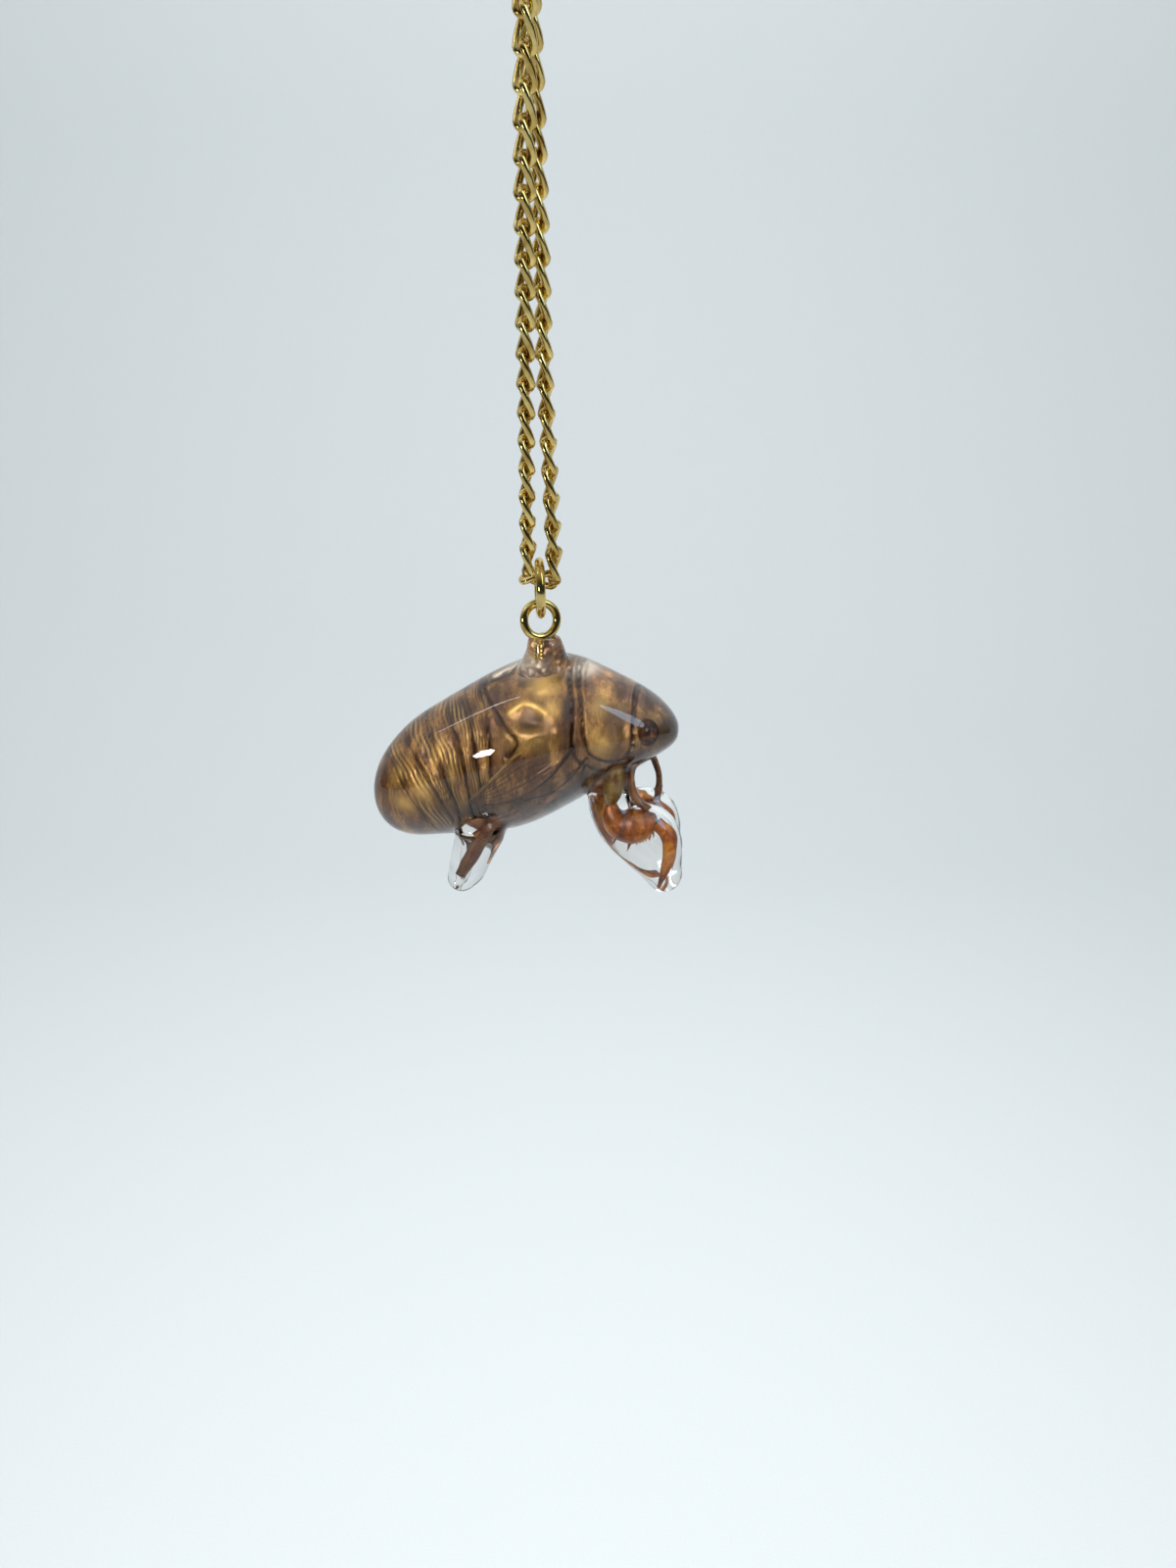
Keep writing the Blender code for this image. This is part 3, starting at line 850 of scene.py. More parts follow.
for seam in FLANK_SEAMS:
    press(skin, seam, depth=0.35, width=0.26, strength=0.7)
print("pressed", len(ABDOMEN_SEAMS + SHIELD_SEAMS + HUMP_SEAMS + FLANK_SEAMS), "seams")


# %% [markdown]
# ## Folds of the abdomen
# Each ring of the abdomen shrank into fine folds that run along with its edge. The way from one
# seam to the next is measured for each vertex, and a wave along it, unsteady in step and height,
# gives the folds. Crests get a painted highlight and hollows painted shade.

# %% Fold the rings
FOLDS_IN_RING = 5
FOLD_HEIGHT = 0.07  # mm
# Strengths of the painted highlight on crests and of the painted shade in hollows.
CREST_HIGHLIGHT = 0.75
HOLLOW_SHADE = 0.6


def fold(piece, seams):
    """Fine folds between neighbouring seams."""
    co, normal = vertex_arrays(piece)
    measured = [distance_to(co[:, [0, 2]], spline_points(seam)) for seam in seams]
    height, y = co[:, 2], co[:, 1]
    wave, share = np.zeros(len(co)), np.zeros(len(co))
    for ring, ((tail, tail_side), (head, head_side)) in enumerate(zip(measured, measured[1:])):
        inside = (tail_side < 0) & (head_side > 0)
        way = tail / (tail + head + 1e-9)
        unsteady = 1.5 * np.sin(0.9 * height + 2.1 * ring) + 0.9 * np.sin(2.3 * height + y + ring)
        ripple = np.sin(2 * math.pi * FOLDS_IN_RING * way + unsteady)
        swell = 0.55 + 0.45 * np.sin(1.3 * height + 1.9 * ring + 4 * way)
        ends = np.clip(np.minimum(way, 1 - way) * 8, 0, 1)
        wave = np.where(inside, ripple, wave)
        share = np.where(inside, swell * ends, share)
    move_vertices(piece, co + normal * (FOLD_HEIGHT * wave * share)[:, None])
    # Crests get a painted highlight, hollows painted shade.
    paint_on(piece, "painted_highlight", np.clip(CREST_HIGHLIGHT * wave * share, 0, 1))
    paint_on(piece, "dark_tone_and_shade", np.clip(-HOLLOW_SHADE * wave * share, 0, 1))
    print("folded", int((share > 0).sum()), "vertices")


fold(skin, [seam[::-1] for seam in ABDOMEN_SEAMS])


# %% [markdown]
# ## Swellings, dents, painted highlights and painted shade
# Swellings get a painted highlight, and dents, the underside and the head get painted shade; the
# membrane in the split is pale, its own colour. Each brush moves the surface a little and paints
# one of three attributes that the material reads.

# %% Brush the skin
def brush(piece, centre, radii, depth, paint, strength):
    """A soft round dent (or a swelling, below zero) with its paint: painted shade, a painted highlight
    or the pale membrane, on both sides of the body.
    """
    co, normal = vertex_arrays(piece)
    away = (co[:, [0, 2]] - np.array(centre)) / np.array(radii)
    shape = np.exp(-(away**2).sum(axis=1))
    move_vertices(piece, co - normal * (depth * shape)[:, None])
    paint_on(piece, paint, shape * strength)


# The crest of the hump is raised and gets a painted highlight; the split's membrane is pale, its own
# colour.
HUMP_CREST_HIGHLIGHT = ((-1.7, -8.3), (-0.1, -7.3), (2.0, -8.0))
PALE_SPLIT = ((-4.2, -5.9), (-2.6, -5.1), (-0.7, -4.4), (1.2, -4.1))
press(skin, HUMP_CREST_HIGHLIGHT, depth=-0.20, width=0.32, paint="painted_highlight")
press(skin, PALE_SPLIT, depth=-0.12, width=0.20, paint="pale")
# Each stroke: centre x, z; radii; depth; paint; strength. Highlight strokes are painted highlights on
# swellings; shade strokes are painted shade in dents, under the shield, on the underside and on the
# head; pale strokes are the membrane's own colour.
BRUSHES = (
    ((0.6, -9.1), (1.3, 0.6), 0.30, "dark_tone_and_shade", 0.9),
    ((1.3, -5.6), (1.4, 1.2), -0.15, "painted_highlight", 1.0),
    ((2.4, -7.6), (0.9, 0.9), -0.05, "painted_highlight", 0.7),
    ((-2.6, -6.6), (1.6, 0.7), 0.05, "dark_tone_and_shade", 0.7),
    ((0.4, -10.4), (2.6, 1.4), -0.35, "painted_highlight", 0.35),
    ((7.4, -10.6), (1.3, 1.2), -0.10, "painted_highlight", 0.6),
    ((7.0, -7.2), (0.9, 1.4), -0.05, "painted_highlight", 0.4),
    ((9.0, -8.6), (0.9, 2.4), 0.15, "dark_tone_and_shade", 0.85),
    ((11.4, -7.4), (1.4, 1.2), 0.0, "dark_tone_and_shade", 0.7),
    ((13.2, -9.8), (1.8, 2.8), 0.0, "dark_tone_and_shade", 1.0),
    ((11.6, -9.2), (2.2, 2.6), 0.0, "dark_tone_and_shade", 0.55),
    ((10.8, -11.8), (1.8, 1.0), 0.0, "dark_tone_and_shade", 0.9),
    ((4.0, -8.0), (0.35, 3.6), 0.10, "dark_tone_and_shade", 0.9),
    ((7.6, -14.0), (3.0, 1.0), 0.10, "dark_tone_and_shade", 0.95),
    ((-6.3, -9.5), (0.8, 3.0), 0.05, "dark_tone_and_shade", 0.45),
    ((-12.6, -18.4), (1.4, 0.8), -0.08, "painted_highlight", 0.9),
    ((-10.8, -16.8), (1.0, 1.2), -0.08, "painted_highlight", 0.9),
    ((-13.6, -15.8), (0.7, 1.0), -0.06, "painted_highlight", 0.8),
    ((-9.2, -13.0), (0.6, 1.4), -0.05, "painted_highlight", 0.7),
    ((-7.4, -14.4), (0.5, 1.6), -0.05, "painted_highlight", 0.5),
    ((-4.0, -18.6), (5.0, 1.4), 0.10, "dark_tone_and_shade", 0.95),
    ((3.4, -16.4), (4.0, 2.0), 0.15, "dark_tone_and_shade", 1.0),
    ((-8.0, -21.4), (3.6, 1.0), 0.0, "dark_tone_and_shade", 0.7),
    ((-1.8, -4.5), (2.2, 0.8), 0.05, "pale", 1.0),
    ((4.8, -4.4), (1.5, 0.6), 0.05, "pale", 0.9),
)
for stroke in BRUSHES:
    brush(skin, *stroke)
print(len(BRUSHES), "brush strokes")


# %% [markdown]
# ## Eyes, face and feelers
# The compound eye is a round lump on the side of the head. The face between the eyes is a blunt
# swelling with cross ribs, which in life held the sucking muscles.

# %% Head pieces
COMPOUND_EYE = (11.6, -4.05, -9.6)
EYE_LUMP = (1.2, 1.1, 1.2)
EYE_HIGHLIGHT_ARC = 0.85  # mm, radius of the bright arc on the eye
FEELER = ((12.4, -1.7, -10.8, 0.3), (12.8, -2.0, -11.4, 0.16), (12.2, -2.3, -12.2, 0.08))
FACE_RIBS = 6
LOWEST_RIB = -11.8
RIB_STEP = 0.45
STRIPS = (
    (
        *((10.2, -3.2, -12.8, 0.42), (10.25, -3.4, -15.0, 0.40)),
        *((10.8, -3.6, -16.5, 0.38), (12.2, -3.6, -18.0, 0.42)),
    ),
    ((11.6, 2.6, -12.6, 0.3), (12.7, 2.8, -15.9, 0.28), (12.5, 2.8, -18.4, 0.32)),
)
BEAK = (
    *((12.0, 0.0, -11.6, 0.8), (10.6, 0.0, -12.9, 0.65)),
    *((8.0, 0.0, -14.6, 0.45), (5.6, 0.0, -16.2, 0.3)),
)
eyes, feelers = [], []
for side in (1, -1):
    x, y, z = COMPOUND_EYE
    lens = ball("compound_eye", (x, y * side, z), EYE_LUMP)
    angles = np.linspace(2.0, 4.6, 7)
    arc = [(x + EYE_HIGHLIGHT_ARC * math.cos(a), z + EYE_HIGHLIGHT_ARC * math.sin(a)) for a in angles]
    # A raised arc on the eye gets a painted highlight.
    press(lens, arc, depth=-0.04, width=0.09, paint="painted_highlight", strength=0.3)
    eyes.append(lens)
    feelers.append(limb("feeler", [(x, y * side, z, r) for x, y, z, r in FEELER]))
face = ball("face", (12.3, 0.0, -10.6), (1.3, 1.9, 1.6))
for i in range(FACE_RIBS):
    height = LOWEST_RIB + i * RIB_STEP
    press(face, ((10.5, height + 0.3), (14.5, height)), depth=0.10, width=0.12)
strips = [limb("palp", stations, sides=6) for stations in STRIPS]
beak = limb("beak", BEAK)
print("head:", len(eyes + feelers + strips) + 2, "pieces")


# %% [markdown]
# ## The torn flap round the pin
# Where the pin went in, the split skin stands up as a crumpled flap behind it. It is a short
# limb, wrinkled hard, and it is what makes the neck of clear resin look brown.

# %% Flap
FLAP = (
    (0.9, -1.0, -5.6, 3.4),
    (0.95, -1.4, -4.2, 2.4),
    (1.0, -1.75, -3.2, 1.7),
    (1.0, -2.0, -2.4, 1.3),
    (0.95, -2.25, -1.6, 1.0),
)
flap = limb("flap", FLAP, sides=10)
modify(flap, "REMESH", mode="VOXEL", voxel_size=0.14)
wrinkle(flap, "CLOUDS", 0.9, 0.5, noise_depth=2)
wrinkle(flap, "CLOUDS", 0.35, 0.18, noise_depth=1)
brush(flap, (-1.0, -3.6), (1.9, 1.2), 0.0, "pale", 0.9)
# A patch of painted shade on the flap's head side.
brush(flap, (2.2, -2.8), (0.8, 0.8), 0.0, "dark_tone_and_shade", 0.9)
print("flap:", len(flap.data.polygons), "faces")


# %% [markdown]
# ## Wing pads
# The nymph's wings were still packed in two flat pads on each side. Each is cut as a leaf shape
# from a grid, laid on the flank with a shrinkwrap, given its thickness, and ribbed with the veins
# that run to its tip.

# %% Lay a pad on the flank
PAD_STAND = 0.32  # mm that a pad stands off the flank
PAD_THICK = 0.22
PAD_COLUMNS = 70
PAD_ROWS = 26
ROOT_SINK = 2.0  # mm that the root goes down into the hump
ROOT_SHARE = 0.62  # of the pad's length
CLEAR_OF_BODY = 14.0  # mm, where the flat leaf waits beside the body


def leaf(name, upper, lower, side):
    """A pad between an upper and a lower edge of x, z points from the root to the tip."""
    deselect()
    bpy.ops.mesh.primitive_grid_add(x_subdivisions=PAD_COLUMNS, y_subdivisions=PAD_ROWS, size=2.0)
    pad = new_piece(name)
    edges = [spline_points(edge, 30) for edge in (upper, lower)]
    for vertex in pad.data.vertices:
        u, v = (vertex.co.x + 1) / 2, (vertex.co.y + 1) / 2
        ends = [edge[min(int(u * (len(edge) - 1)), len(edge) - 1)] for edge in edges]
        x, z = ends[0] * v + ends[1] * (1 - v)
        vertex.co = (x, -CLEAR_OF_BODY * side, z)
    modify(
        pad,
        "SHRINKWRAP",
        target=skin,
        wrap_method="PROJECT",
        use_project_x=False,
        use_project_y=True,
        use_positive_direction=side > 0,
        use_negative_direction=side < 0,
        offset=PAD_STAND,
        wrap_mode="ABOVE_SURFACE",
    )
    modify(pad, "SMOOTH", factor=0.5, iterations=6)
    for i, vertex in enumerate(pad.data.vertices):
        u = (i % (PAD_COLUMNS + 1)) / PAD_COLUMNS
        v = (i // (PAD_COLUMNS + 1)) / PAD_ROWS
        vertex.co.y += side * ROOT_SINK * v * max(0.0, 1 - u / ROOT_SHARE)
    return pad


VEINS = (0.12, 0.26, 0.4, 0.54, 0.68, 0.82, 0.93)  # shares of the way from lower to upper edge
VEIN_STEPS = (0.2, 0.45, 0.7, 0.97)  # shares of the way from root to tip
FREE_FROM = 0.45  # share of the upper edge from which it stands free
FORE_PAD_UPPER = ((4.9, -10.7), (2.2, -10.9), (-0.6, -11.9), (-2.9, -14.4), (-5.6, -17.2))
FORE_PAD_LOWER = (
    *((4.9, -11.0), (3.4, -13.0), (1.4, -15.2)),
    *((-1.3, -16.9), (-4.2, -17.6), (-5.6, -17.3)),
)
HIND_PAD_UPPER = ((5.8, -11.2), (3.6, -13.2), (1.8, -14.8), (-0.4, -16.4))
HIND_PAD_LOWER = ((6.1, -12.0), (4.4, -14.2), (2.6, -15.8), (-0.4, -16.9))
pads = []
for side in (1, -1):
    for name, upper, lower in (
        ("fore_pad", FORE_PAD_UPPER, FORE_PAD_LOWER),
        ("hind_pad", HIND_PAD_UPPER, HIND_PAD_LOWER),
    ):
        pad = leaf(name, upper, lower, side)
        modify(pad, "SOLIDIFY", thickness=PAD_THICK, offset=0.0, use_even_offset=False)
        top, foot = spline_points(upper, 30), spline_points(lower, 30)
        for share in VEINS:
            vein = [
                top[int(u * (len(top) - 1))] * share + foot[int(u * (len(foot) - 1))] * (1 - share)
                for u in VEIN_STEPS
            ]
            press(pad, vein, depth=-0.06, width=0.07, strength=0.75)
        # The free part of the upper edge is raised and gets a painted highlight.
        highlight_edge = top[int(len(top) * FREE_FROM) :: 8]
        press(pad, highlight_edge, depth=-0.12, width=0.15, paint="painted_highlight")
        press(pad, lower, depth=-0.10, width=0.14)
        pads.append(pad)
print("pads:", [len(pad.data.polygons) for pad in pads])


# %% [markdown]
# ## Legs
# The forelegs are made for digging: a swollen femur with a row of teeth and two big spines, and
# a hooked shin that closes on it. Each part is a bar drawn through its joints, and one cone is
# the pattern for every tooth and spine.

# %% Forelegs
COXA = (
    (8.9, -3.9, -12.4, 0.4),
    (8.7, -4.15, -13.4, 0.85),
    (8.6, -4.2, -14.7, 0.98),
    (8.5, -4.1, -16.0, 0.82),
    (8.4, -3.9, -17.2, 0.4),
)
FEMUR = (
    (8.3, -3.7, -17.4, 0.45),
    (8.6, -3.7, -18.5, 0.8),
    (9.5, -3.7, -19.3, 1.3),
    (10.8, -3.7, -19.6, 1.55),
    (12.1, -3.6, -19.3, 1.1),
    (12.9, -3.6, -19.0, 0.55),
)
TIBIA = (
    (13.0, -3.6, -19.2, 0.5),
    (14.0, -3.6, -20.2, 0.6),
    (14.3, -3.6, -22.0, 0.52),
    (14.1, -3.6, -23.8, 0.38),
    (13.9, -3.6, -25.4, 0.12),
)
SPINES = ((10.6, -21.3, 0.26, 1.1), (9.3, -20.8, 0.22, 0.9))  # x, z, radius, length
TEETH = 7
FIRST_TOOTH = (11.2, -21.05)
TOOTH_ROW = (1.6, 0.95)  # mm along and up from the first tooth to the last
TOOTH = (0.16, 0.6)  # radius, length
FORELEG_OUT = 3.6  # mm from the body's middle


def spike(name, x, y, z, radius, length, lean):
    """A pointed tooth that hangs from a leg: a cone drawn in towards its tip."""
    deselect()
    bpy.ops.mesh.primitive_cone_add(
        vertices=10,
        radius1=radius,
        radius2=0.02,
        depth=length,
        location=(x, y, z),
        rotation=(math.pi, lean, 0.0),
    )
    tooth = settle(new_piece(name))
    modify(tooth, "BEVEL", width=0.03, segments=2, limit_method="ANGLE")
    return tooth


def foreleg(side):
    pieces = []
    shift = 0.0 if side > 0 else FAR_SIDE_SHIFT
    for name, stations in (("coxa", COXA), ("femur", FEMUR), ("tibia", TIBIA)):
        pieces.append(limb(name, on_side(stations, side), sides=8))
    y = -FORELEG_OUT * side
    for x, z, radius, length in SPINES:
        pieces.append(spike("spine", x + shift, y, z, radius, length, lean=0.15))
    for i in range(TEETH):
        t = i / (TEETH - 1)
        x, z = (start + run * t for start, run in zip(FIRST_TOOTH, TOOTH_ROW))
        pieces.append(spike("tooth", x + shift, y, z, *TOOTH, lean=-0.3))
    return pieces


legs = foreleg(1) + foreleg(-1)


# %% [markdown]
# ## The other legs
# The middle legs lie folded under the flank. The hind legs hang down in their drips as thin bars,
# with fine rings round the shin. Crumpled lumps and folds join them to the body.

# %% Middle and hind legs
MID_LEG = ((3.8, -4.0, -14.4, 0.8), (1.6, -4.4, -16.6, 0.6), (-0.8, -4.0, -17.8, 0.4))
HIND_THIGH = ((-0.8, -4.0, -17.6, 0.7), (-2.6, -4.2, -18.7, 0.65), (-4.0, -4.4, -20.0, 0.6))
HIND_SHIN = (
    *((-3.8, -4.4, -19.8, 0.6), (-4.9, -4.5, -21.6, 0.55)),
    *((-5.9, -4.5, -23.8, 0.5), (-6.8, -4.5, -25.8, 0.36)),
)
THIGH_FOLDS = (
    ((-1.0, -4.4, -18.4, 0.45), (-3.2, -4.7, -19.8, 0.5), (-5.4, -4.9, -21.4, 0.25)),
    ((0.8, -3.4, -18.6, 0.4), (-2.0, -3.4, -20.0, 0.5), (-4.4, -3.6, -22.2, 0.22)),
    ((-3.2, -3.0, -20.6, 0.3), (-4.2, -3.4, -22.4, 0.35), (-5.0, -3.8, -24.4, 0.15)),
)
LEG_ROOTS = ((-4.9, -3.5, -20.3, 1.6, 0.9, 1.0), (7.4, -2.9, -14.8, 1.1, 1.1, 1.7))
RING_SPACING = 0.24  # mm between the fine rings of the shin
RING_HEIGHT = 0.014


def ringed(piece, stations):
    """Fine rings round a leg, as a wave along the line from its first to its last station."""
    start, end = Vector(stations[0][:3]), Vector(stations[-1][:3])
    along = (end - start).normalized()
    co, normal = vertex_arrays(piece)
    travel = (co - np.array(start)) @ np.array(along)
    wave = np.sin(2 * math.pi * travel / RING_SPACING)
    move_vertices(piece, co + normal * (RING_HEIGHT * wave)[:, None])
    paint_on(piece, "seam", np.clip(0.4 - 0.5 * wave, 0, 1))


for side in (1, -1):
    shift = 0.0 if side > 0 else FAR_SIDE_SHIFT
    for name, stations in (("mid_leg", MID_LEG), ("hind_thigh", HIND_THIGH), ("hind_shin", HIND_SHIN)):
        stations = on_side(stations, side)
        leg = limb(name, stations, sides=8)
        modify(leg, "SUBSURF", levels=1, render_levels=1)
        if name == "hind_shin":
            ringed(leg, stations)
        legs.append(leg)
    for stations in THIGH_FOLDS:
        legs.append(limb("thigh_fold", on_side(stations, side), sides=6))
    for x, y, z, *radii in LEG_ROOTS:
        root = ball("leg_root", (x + shift, y * side, z), radii)
        wrinkle(root, "CLOUDS", 0.8, 0.35, noise_depth=2)
        legs.append(root)
print("legs:", len(legs), "pieces")


# %% [markdown]
# ## Skin materials
# Cast skin is chitin, a brown horn that is thin enough to glow. Seen through resin it shines like
# tortoiseshell. The colour is mixed from noise at two real sizes and from the dark painted seams,
# with a painted highlight for the gold shine and painted shade in hollows, dents and underneath.

# %% Chitin
GRAIN = 0.30 * MM
GRAIN_SHARE = 0.28  # of the grain against the blotches
CHITIN_IOR = 1.56
EVEN = (1.0, 1.0, 1.0)


def painted_over(tree, colour, attribute, paint, amount):
    """The colour with this paint laid over it wherever the attribute says so."""
    factor = add_node(tree, "ShaderNodeAttribute", {"attribute_name": attribute}).outputs["Fac"]
    strength = add_node(tree, "ShaderNodeMath", {"operation": "MULTIPLY"}, {0: factor})
    strength.inputs[1].default_value = amount
    layer = add_node(tree, "ShaderNodeMix", {"data_type": "RGBA"}, {"Factor": strength.outputs[0]})
    layer.inputs[7].default_value = linear(paint)
    tree.links.new(colour, layer.inputs[6])
    return layer.outputs[2]


def make_chitin(name, dark_tone_and_shade, middle, light, crease, blotch=2.6, streak=EVEN, sheen=0.45):
    """Skin of three browns in blotches of this size in mm, with its own dark colour in the seams,
    which is also used as painted shade.
    """
    material, tree, shader, _ = new_material(name)
    place = add_node(tree, "ShaderNodeTexCoord").outputs["Object"]
    along = add_node(tree, "ShaderNodeMapping", {"Scale": streak}, {"Vector": place}).outputs["Vector"]
    clouds = noise(tree, along, blotch * MM, 4.0, 0.55)
    grain = noise(tree, along, GRAIN, 3.0, 0.6)
    sources = {"A": clouds.outputs["Fac"], "B": grain.outputs["Fac"]}
    both = add_node(tree, "ShaderNodeMix", {"data_type": "FLOAT"}, sources)
    both.inputs["Factor"].default_value = GRAIN_SHARE
    mottle = both.outputs["Result"]
    colour = colour_ramp(tree, mottle, [(0.34, dark_tone_and_shade), (0.49, middle), (0.65, light)])
    # Laid over the mottle in turn: painted highlight, painted shade, the dark seams and the pale
    # membrane.
    for attribute, paint, amount in (
        ("painted_highlight", "#eabd64", 0.85),
        ("dark_tone_and_shade", crease, 0.88),
        ("seam", crease, 0.97),
        ("pale", "#d9ccb8", 0.85),
    ):
        colour = painted_over(tree, colour, attribute, paint, amount)
    tree.links.new(colour, shader.inputs["Base Color"])
    tree.links.new(between(tree, grain.outputs["Fac"], 0.28, 0.52), shader.inputs["Roughness"])
    tree.links.new(bump(tree, mottle, 0.7, 0.08 * MM), shader.inputs["Normal"])
    shader.inputs["IOR"].default_value = CHITIN_IOR
    shader.inputs["Metallic"].default_value = sheen
    return material


chitin = make_chitin(
    "chitin_cast_skin", "#331607", "#70461f", "#c08d48", "#2a1207", streak=(1.5, 1.0, 0.5)
)
amber_chitin = make_chitin(
    "chitin_amber_digging_leg", "#431603", "#984d07", "#d08a22", "#220a03", blotch=1.8, sheen=0.25
)
leg_chitin = make_chitin("chitin_ringed_leg", "#3f2012", "#7a4a2a", "#9c6c40", "#2b140b", blotch=0.9)
tan_chitin = make_chitin("chitin_tan_hip", "#5a3c1a", "#886634", "#a98c4e", "#2b1a0b", blotch=1.4)
eye_chitin = make_chitin(
    "chitin_compound_eye", "#170803", "#2c1307", "#6a3a12", "#0f0502", blotch=0.7, sheen=0.2
)


# %% [markdown]
# ## One shell
# All of it grew as one skin, so the parts are joined into one piece, which stands for the shell's
# solid and swings with the pendant.

# %% Join and place the shell
LEG_MATERIALS = dict.fromkeys(("femur", "tibia", "tooth", "spine"), amber_chitin)
LEG_MATERIALS["coxa"] = tan_chitin
head_lumps = [lump for pair in zip(eyes, feelers) for lump in pair]
for piece in [skin, face, beak, flap, *feelers, *pads]:
    dress(piece, chitin)
for piece in eyes:
    dress(piece, eye_chitin)
for piece in strips:
    dress(piece, leg_chitin)
for piece in legs:
    dress(piece, LEG_MATERIALS.get(piece.name.split(".")[0], leg_chitin))
shell = joined("cicada_skin", skin, face, beak, flap, *head_lumps, *strips, *pads, *legs)
shell.data.transform(PENDANT)
smooth(shell, 70)
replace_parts(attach(shell, "pendant"), "cicada_shell")
print("shell:", len(shell.data.polygons), "faces")


# %% [markdown]
# ## Floor
# The pendant hangs in front of a plain pale sweep: a sheet of paper on the floor that curves up
# behind it, so that the photo's view shows no horizon.

# %% Floor
FLOOR_HEIGHT = -0.6  # m
FLOOR_SIZE = 6.0
WALL_HEIGHT = 2.4
SWEEP_RADIUS = 0.7
PAPER_FIBRES = MM / 0.9
deselect()
bpy.ops.mesh.primitive_plane_add(size=FLOOR_SIZE, location=(0.0, -1.5, FLOOR_HEIGHT))
floor = settle(new_piece("floor"))
bpy.ops.object.mode_set(mode="EDIT")
bpy.ops.mesh.select_all(action="DESELECT")
bpy.ops.object.mode_set(mode="OBJECT")
for edge in floor.data.edges:
    edge.select = all(floor.data.vertices[v].co.y > 1.0 for v in edge.vertices)
bpy.ops.object.mode_set(mode="EDIT")
bpy.ops.mesh.extrude_region_move(TRANSFORM_OT_translate={"value": (0.0, 0.0, WALL_HEIGHT)})
bpy.ops.object.mode_set(mode="OBJECT")
modify(floor, "BEVEL", width=SWEEP_RADIUS, segments=24, limit_method="ANGLE")
smooth(floor, 60)
paper, tree, shader, _ = new_material("matt_paper_pale")
place = add_node(tree, "ShaderNodeTexCoord").outputs["Object"]
fibres = noise(tree, place, PAPER_FIBRES, 2.0)
pulp = colour_ramp(tree, fibres.outputs["Fac"], [(0.2, "#d5d9da"), (0.8, "#dadddd")])
tree.links.new(pulp, shader.inputs["Base Color"])
shader.inputs["Roughness"].default_value = 0.9
floor.data.materials.append(paper)
print("floor at", FLOOR_HEIGHT, "m")


# %% [markdown]
# ## Soft lights
# The skin inside gets its light only through the coat, so the lights are large and soft. The coat
# doesn't mirror them: its highlights come from smaller lamps, in the next step.

# %% Lights
def soft_light(name, place, target, size, power, size_y=None, colour=(1.0, 1.0, 1.0)):
    """An oval lamp that faces the target."""
    data = bpy.data.lights.new(name, "AREA")
    data.shape = "ELLIPSE"
    data.size, data.size_y = size, size_y or size
    data.energy = power
    data.color = colour
    lamp = bpy.data.objects.new(name, data)
    lamp.location = place
    lamp.rotation_euler = (Vector(target) - Vector(place)).to_track_quat("-Z", "Y").to_euler()
    bpy.context.scene.collection.objects.link(lamp)
    return lamp


BODY_MIDDLE = (0.0, 0.0, -0.072)
WALL_FOOT = (0.0, 1.4, 0.1)
for name, place, target, size, power in (
    ("key", (-0.22, -0.30, 0.24), BODY_MIDDLE, 0.24, 2.6),
    ("fill", (0.34, -0.26, 0.02), BODY_MIDDLE, 0.30, 0.7),
    ("back", (0.10, 0.40, 0.28), BODY_MIDDLE, 0.34, 1.9),
    ("sweep", (0.0, 0.45, 0.95), WALL_FOOT, 0.8, 5.0),
):
    lamp = soft_light(name, place, target, size, power)
    lamp.visible_glossy = False


# %% [markdown]
# ## Highlights where the photo has them
# On glass a highlight is the mirror image of a lamp. To put one where the photo shows it, send a
# ray from the camera through that place, bounce it off the coat, and hang a small lamp on the
# bounced ray. A long lamp stretched between two bounced rays gives a streak.

# %% Lamps for the highlights
LAMP_DISTANCE = 0.32  # m
WINDOW_ENDS = ((485, 774), (501, 764))  # pixels in the photo
SLIT_ENDS = ((445, 748), (531, 711))
BLUE_ENDS = ((610, 718), (657, 742))


def bounced(pixel):
    """Where a lamp must hang for the coat to mirror it at this place in the photo."""
    right = (pixel[0] - PHOTO_WIDTH / 2) / FOCAL_PIXELS
    up = (PHOTO_HEIGHT / 2 - pixel[1]) / FOCAL_PIXELS
    ray = camera.rotation_euler.to_matrix() @ Vector((right, up, -1.0))
    ray.normalize()
    hit, place, normal, _ = coat.ray_cast(camera.location, ray)
    mirrored_ray = ray - 2 * ray.dot(normal) * normal
    return place + mirrored_ray * LAMP_DISTANCE


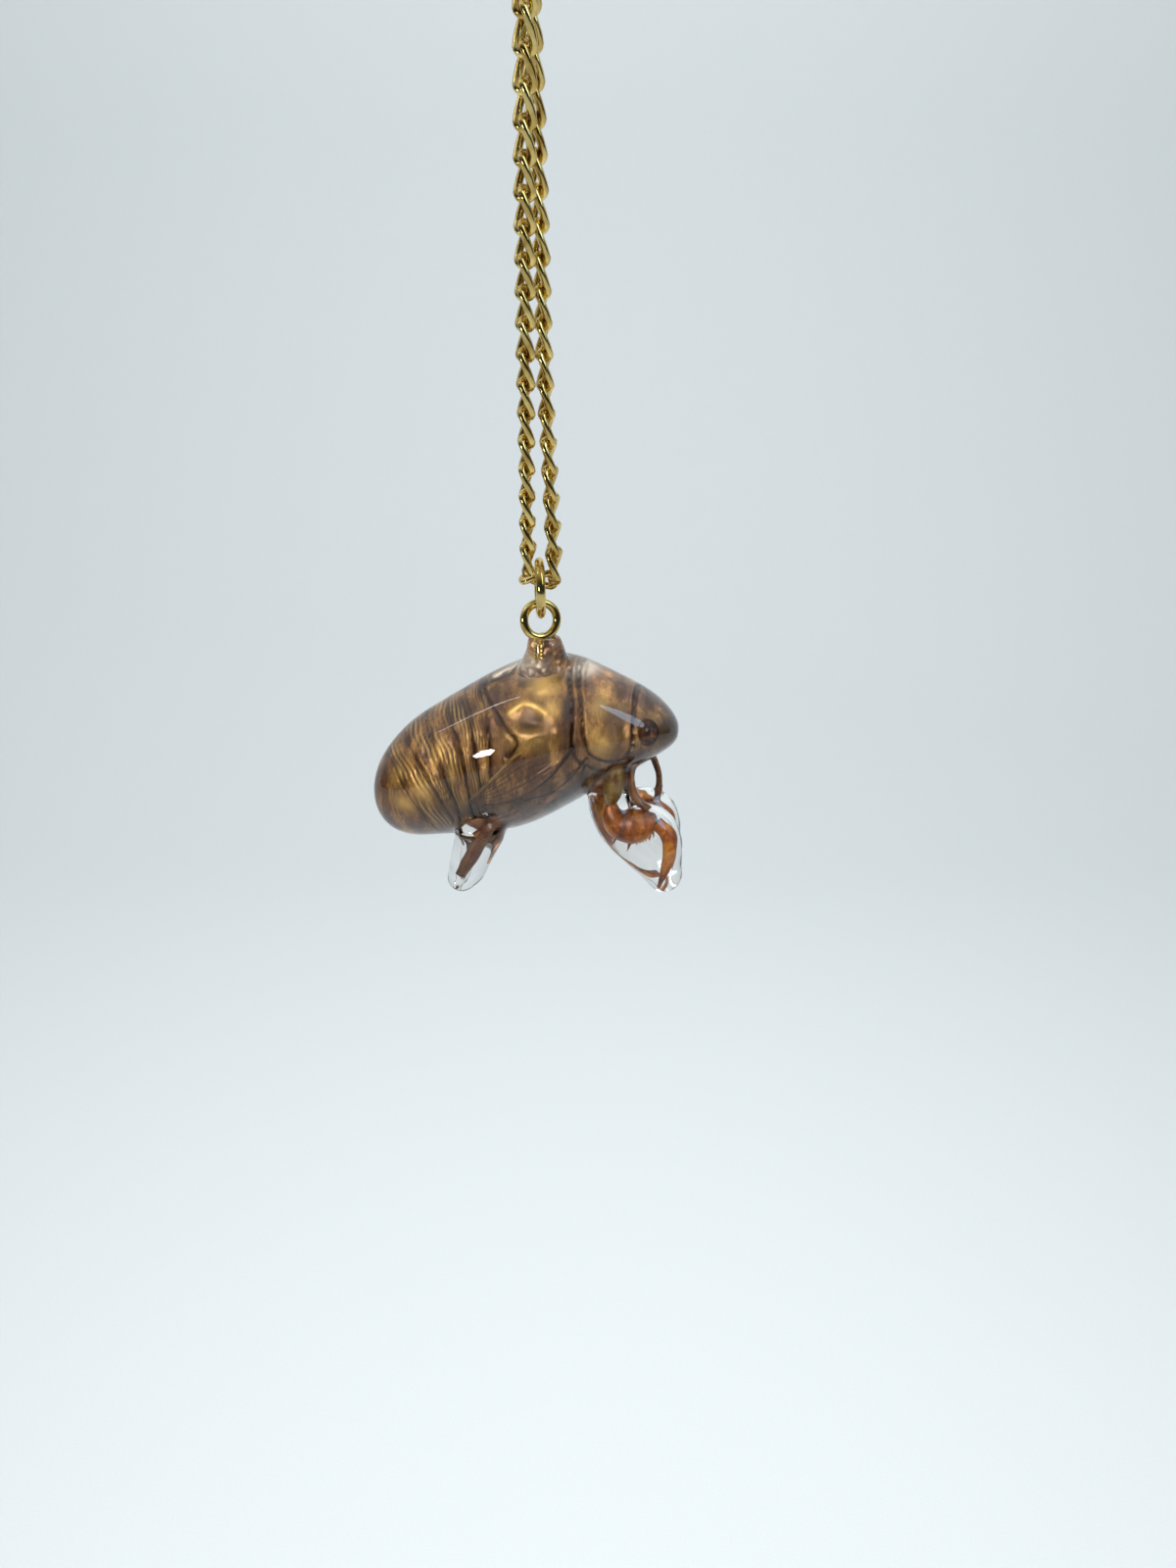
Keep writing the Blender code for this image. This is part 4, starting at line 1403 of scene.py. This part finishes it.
def streak(name, ends, width, radiance, colour):
    """A lamp strip whose mirror image runs between two places in the photo."""
    a, b = map(bounced, ends)
    lamp = soft_light(name, (a + b) / 2, BODY_MIDDLE, (b - a).length, 1.0, width, colour)
    to_body = (lamp.location - Vector(BODY_MIDDLE)).normalized()
    across = (b - a - (b - a).dot(to_body) * to_body).normalized()
    lamp.rotation_euler = Matrix((across, to_body.cross(across), to_body)).transposed().to_euler()
    lamp.data.energy = radiance * math.pi * lamp.data.size * lamp.data.size_y
    print(name, "lamp", round(lamp.data.size, 3), "m long")


streak("bright_window", WINDOW_ENDS, 0.05, 24.0, (1.0, 0.98, 0.95))
streak("thin_slit", SLIT_ENDS, 0.012, 5.0, (1.0, 0.97, 0.9))
streak("blue_window", BLUE_ENDS, 0.09, 4.0, (0.52, 0.76, 1.0))


# %% [markdown]
# ## The room
# Polished metal is only as lively as what it mirrors. In mirror images the room is pale above and
# behind, and darker on the camera's side, so the wires get both light and dark edges. The skin
# gets an even pale light instead, and past the sweep the camera sees a pale grey like the paper.

# %% Room
TO_THE_BACK = (0.0, 0.55, 0.7)


def choice(tree, ray, otherwise, chosen):
    """The chosen colour for rays of this kind, and the other one for all the rest."""
    path = add_node(tree, "ShaderNodeLightPath").outputs[ray]
    mix = add_node(tree, "ShaderNodeMix", {"data_type": "RGBA"}, {"Factor": path})
    for socket, colour in ((mix.inputs[6], otherwise), (mix.inputs[7], chosen)):
        if isinstance(colour, str):
            socket.default_value = linear(colour)
        else:
            tree.links.new(colour, socket)
    return mix.outputs[2]


world = bpy.data.worlds.new("soft_room")
world.use_nodes = True
tree = world.node_tree
background = tree.nodes["Background"]
way = add_node(tree, "ShaderNodeTexCoord").outputs["Generated"]
toward_back = add_node(tree, "ShaderNodeVectorMath", {"operation": "DOT_PRODUCT"}, {0: way})
toward_back.inputs[1].default_value = TO_THE_BACK
mirrored = colour_ramp(tree, toward_back.outputs["Value"], [(0.0, "#22262a"), (0.5, "#d6dbde")])
room_light = choice(tree, "Is Glossy Ray", "#e0e6ea", mirrored)
tree.links.new(choice(tree, "Is Camera Ray", room_light, "#bbc5c9"), background.inputs["Color"])
background.inputs["Strength"].default_value = 1.0
bpy.context.scene.world = world
bpy.context.scene.view_settings.view_transform = "Standard"
print("lamps:", [lamp.name for lamp in bpy.data.lights])
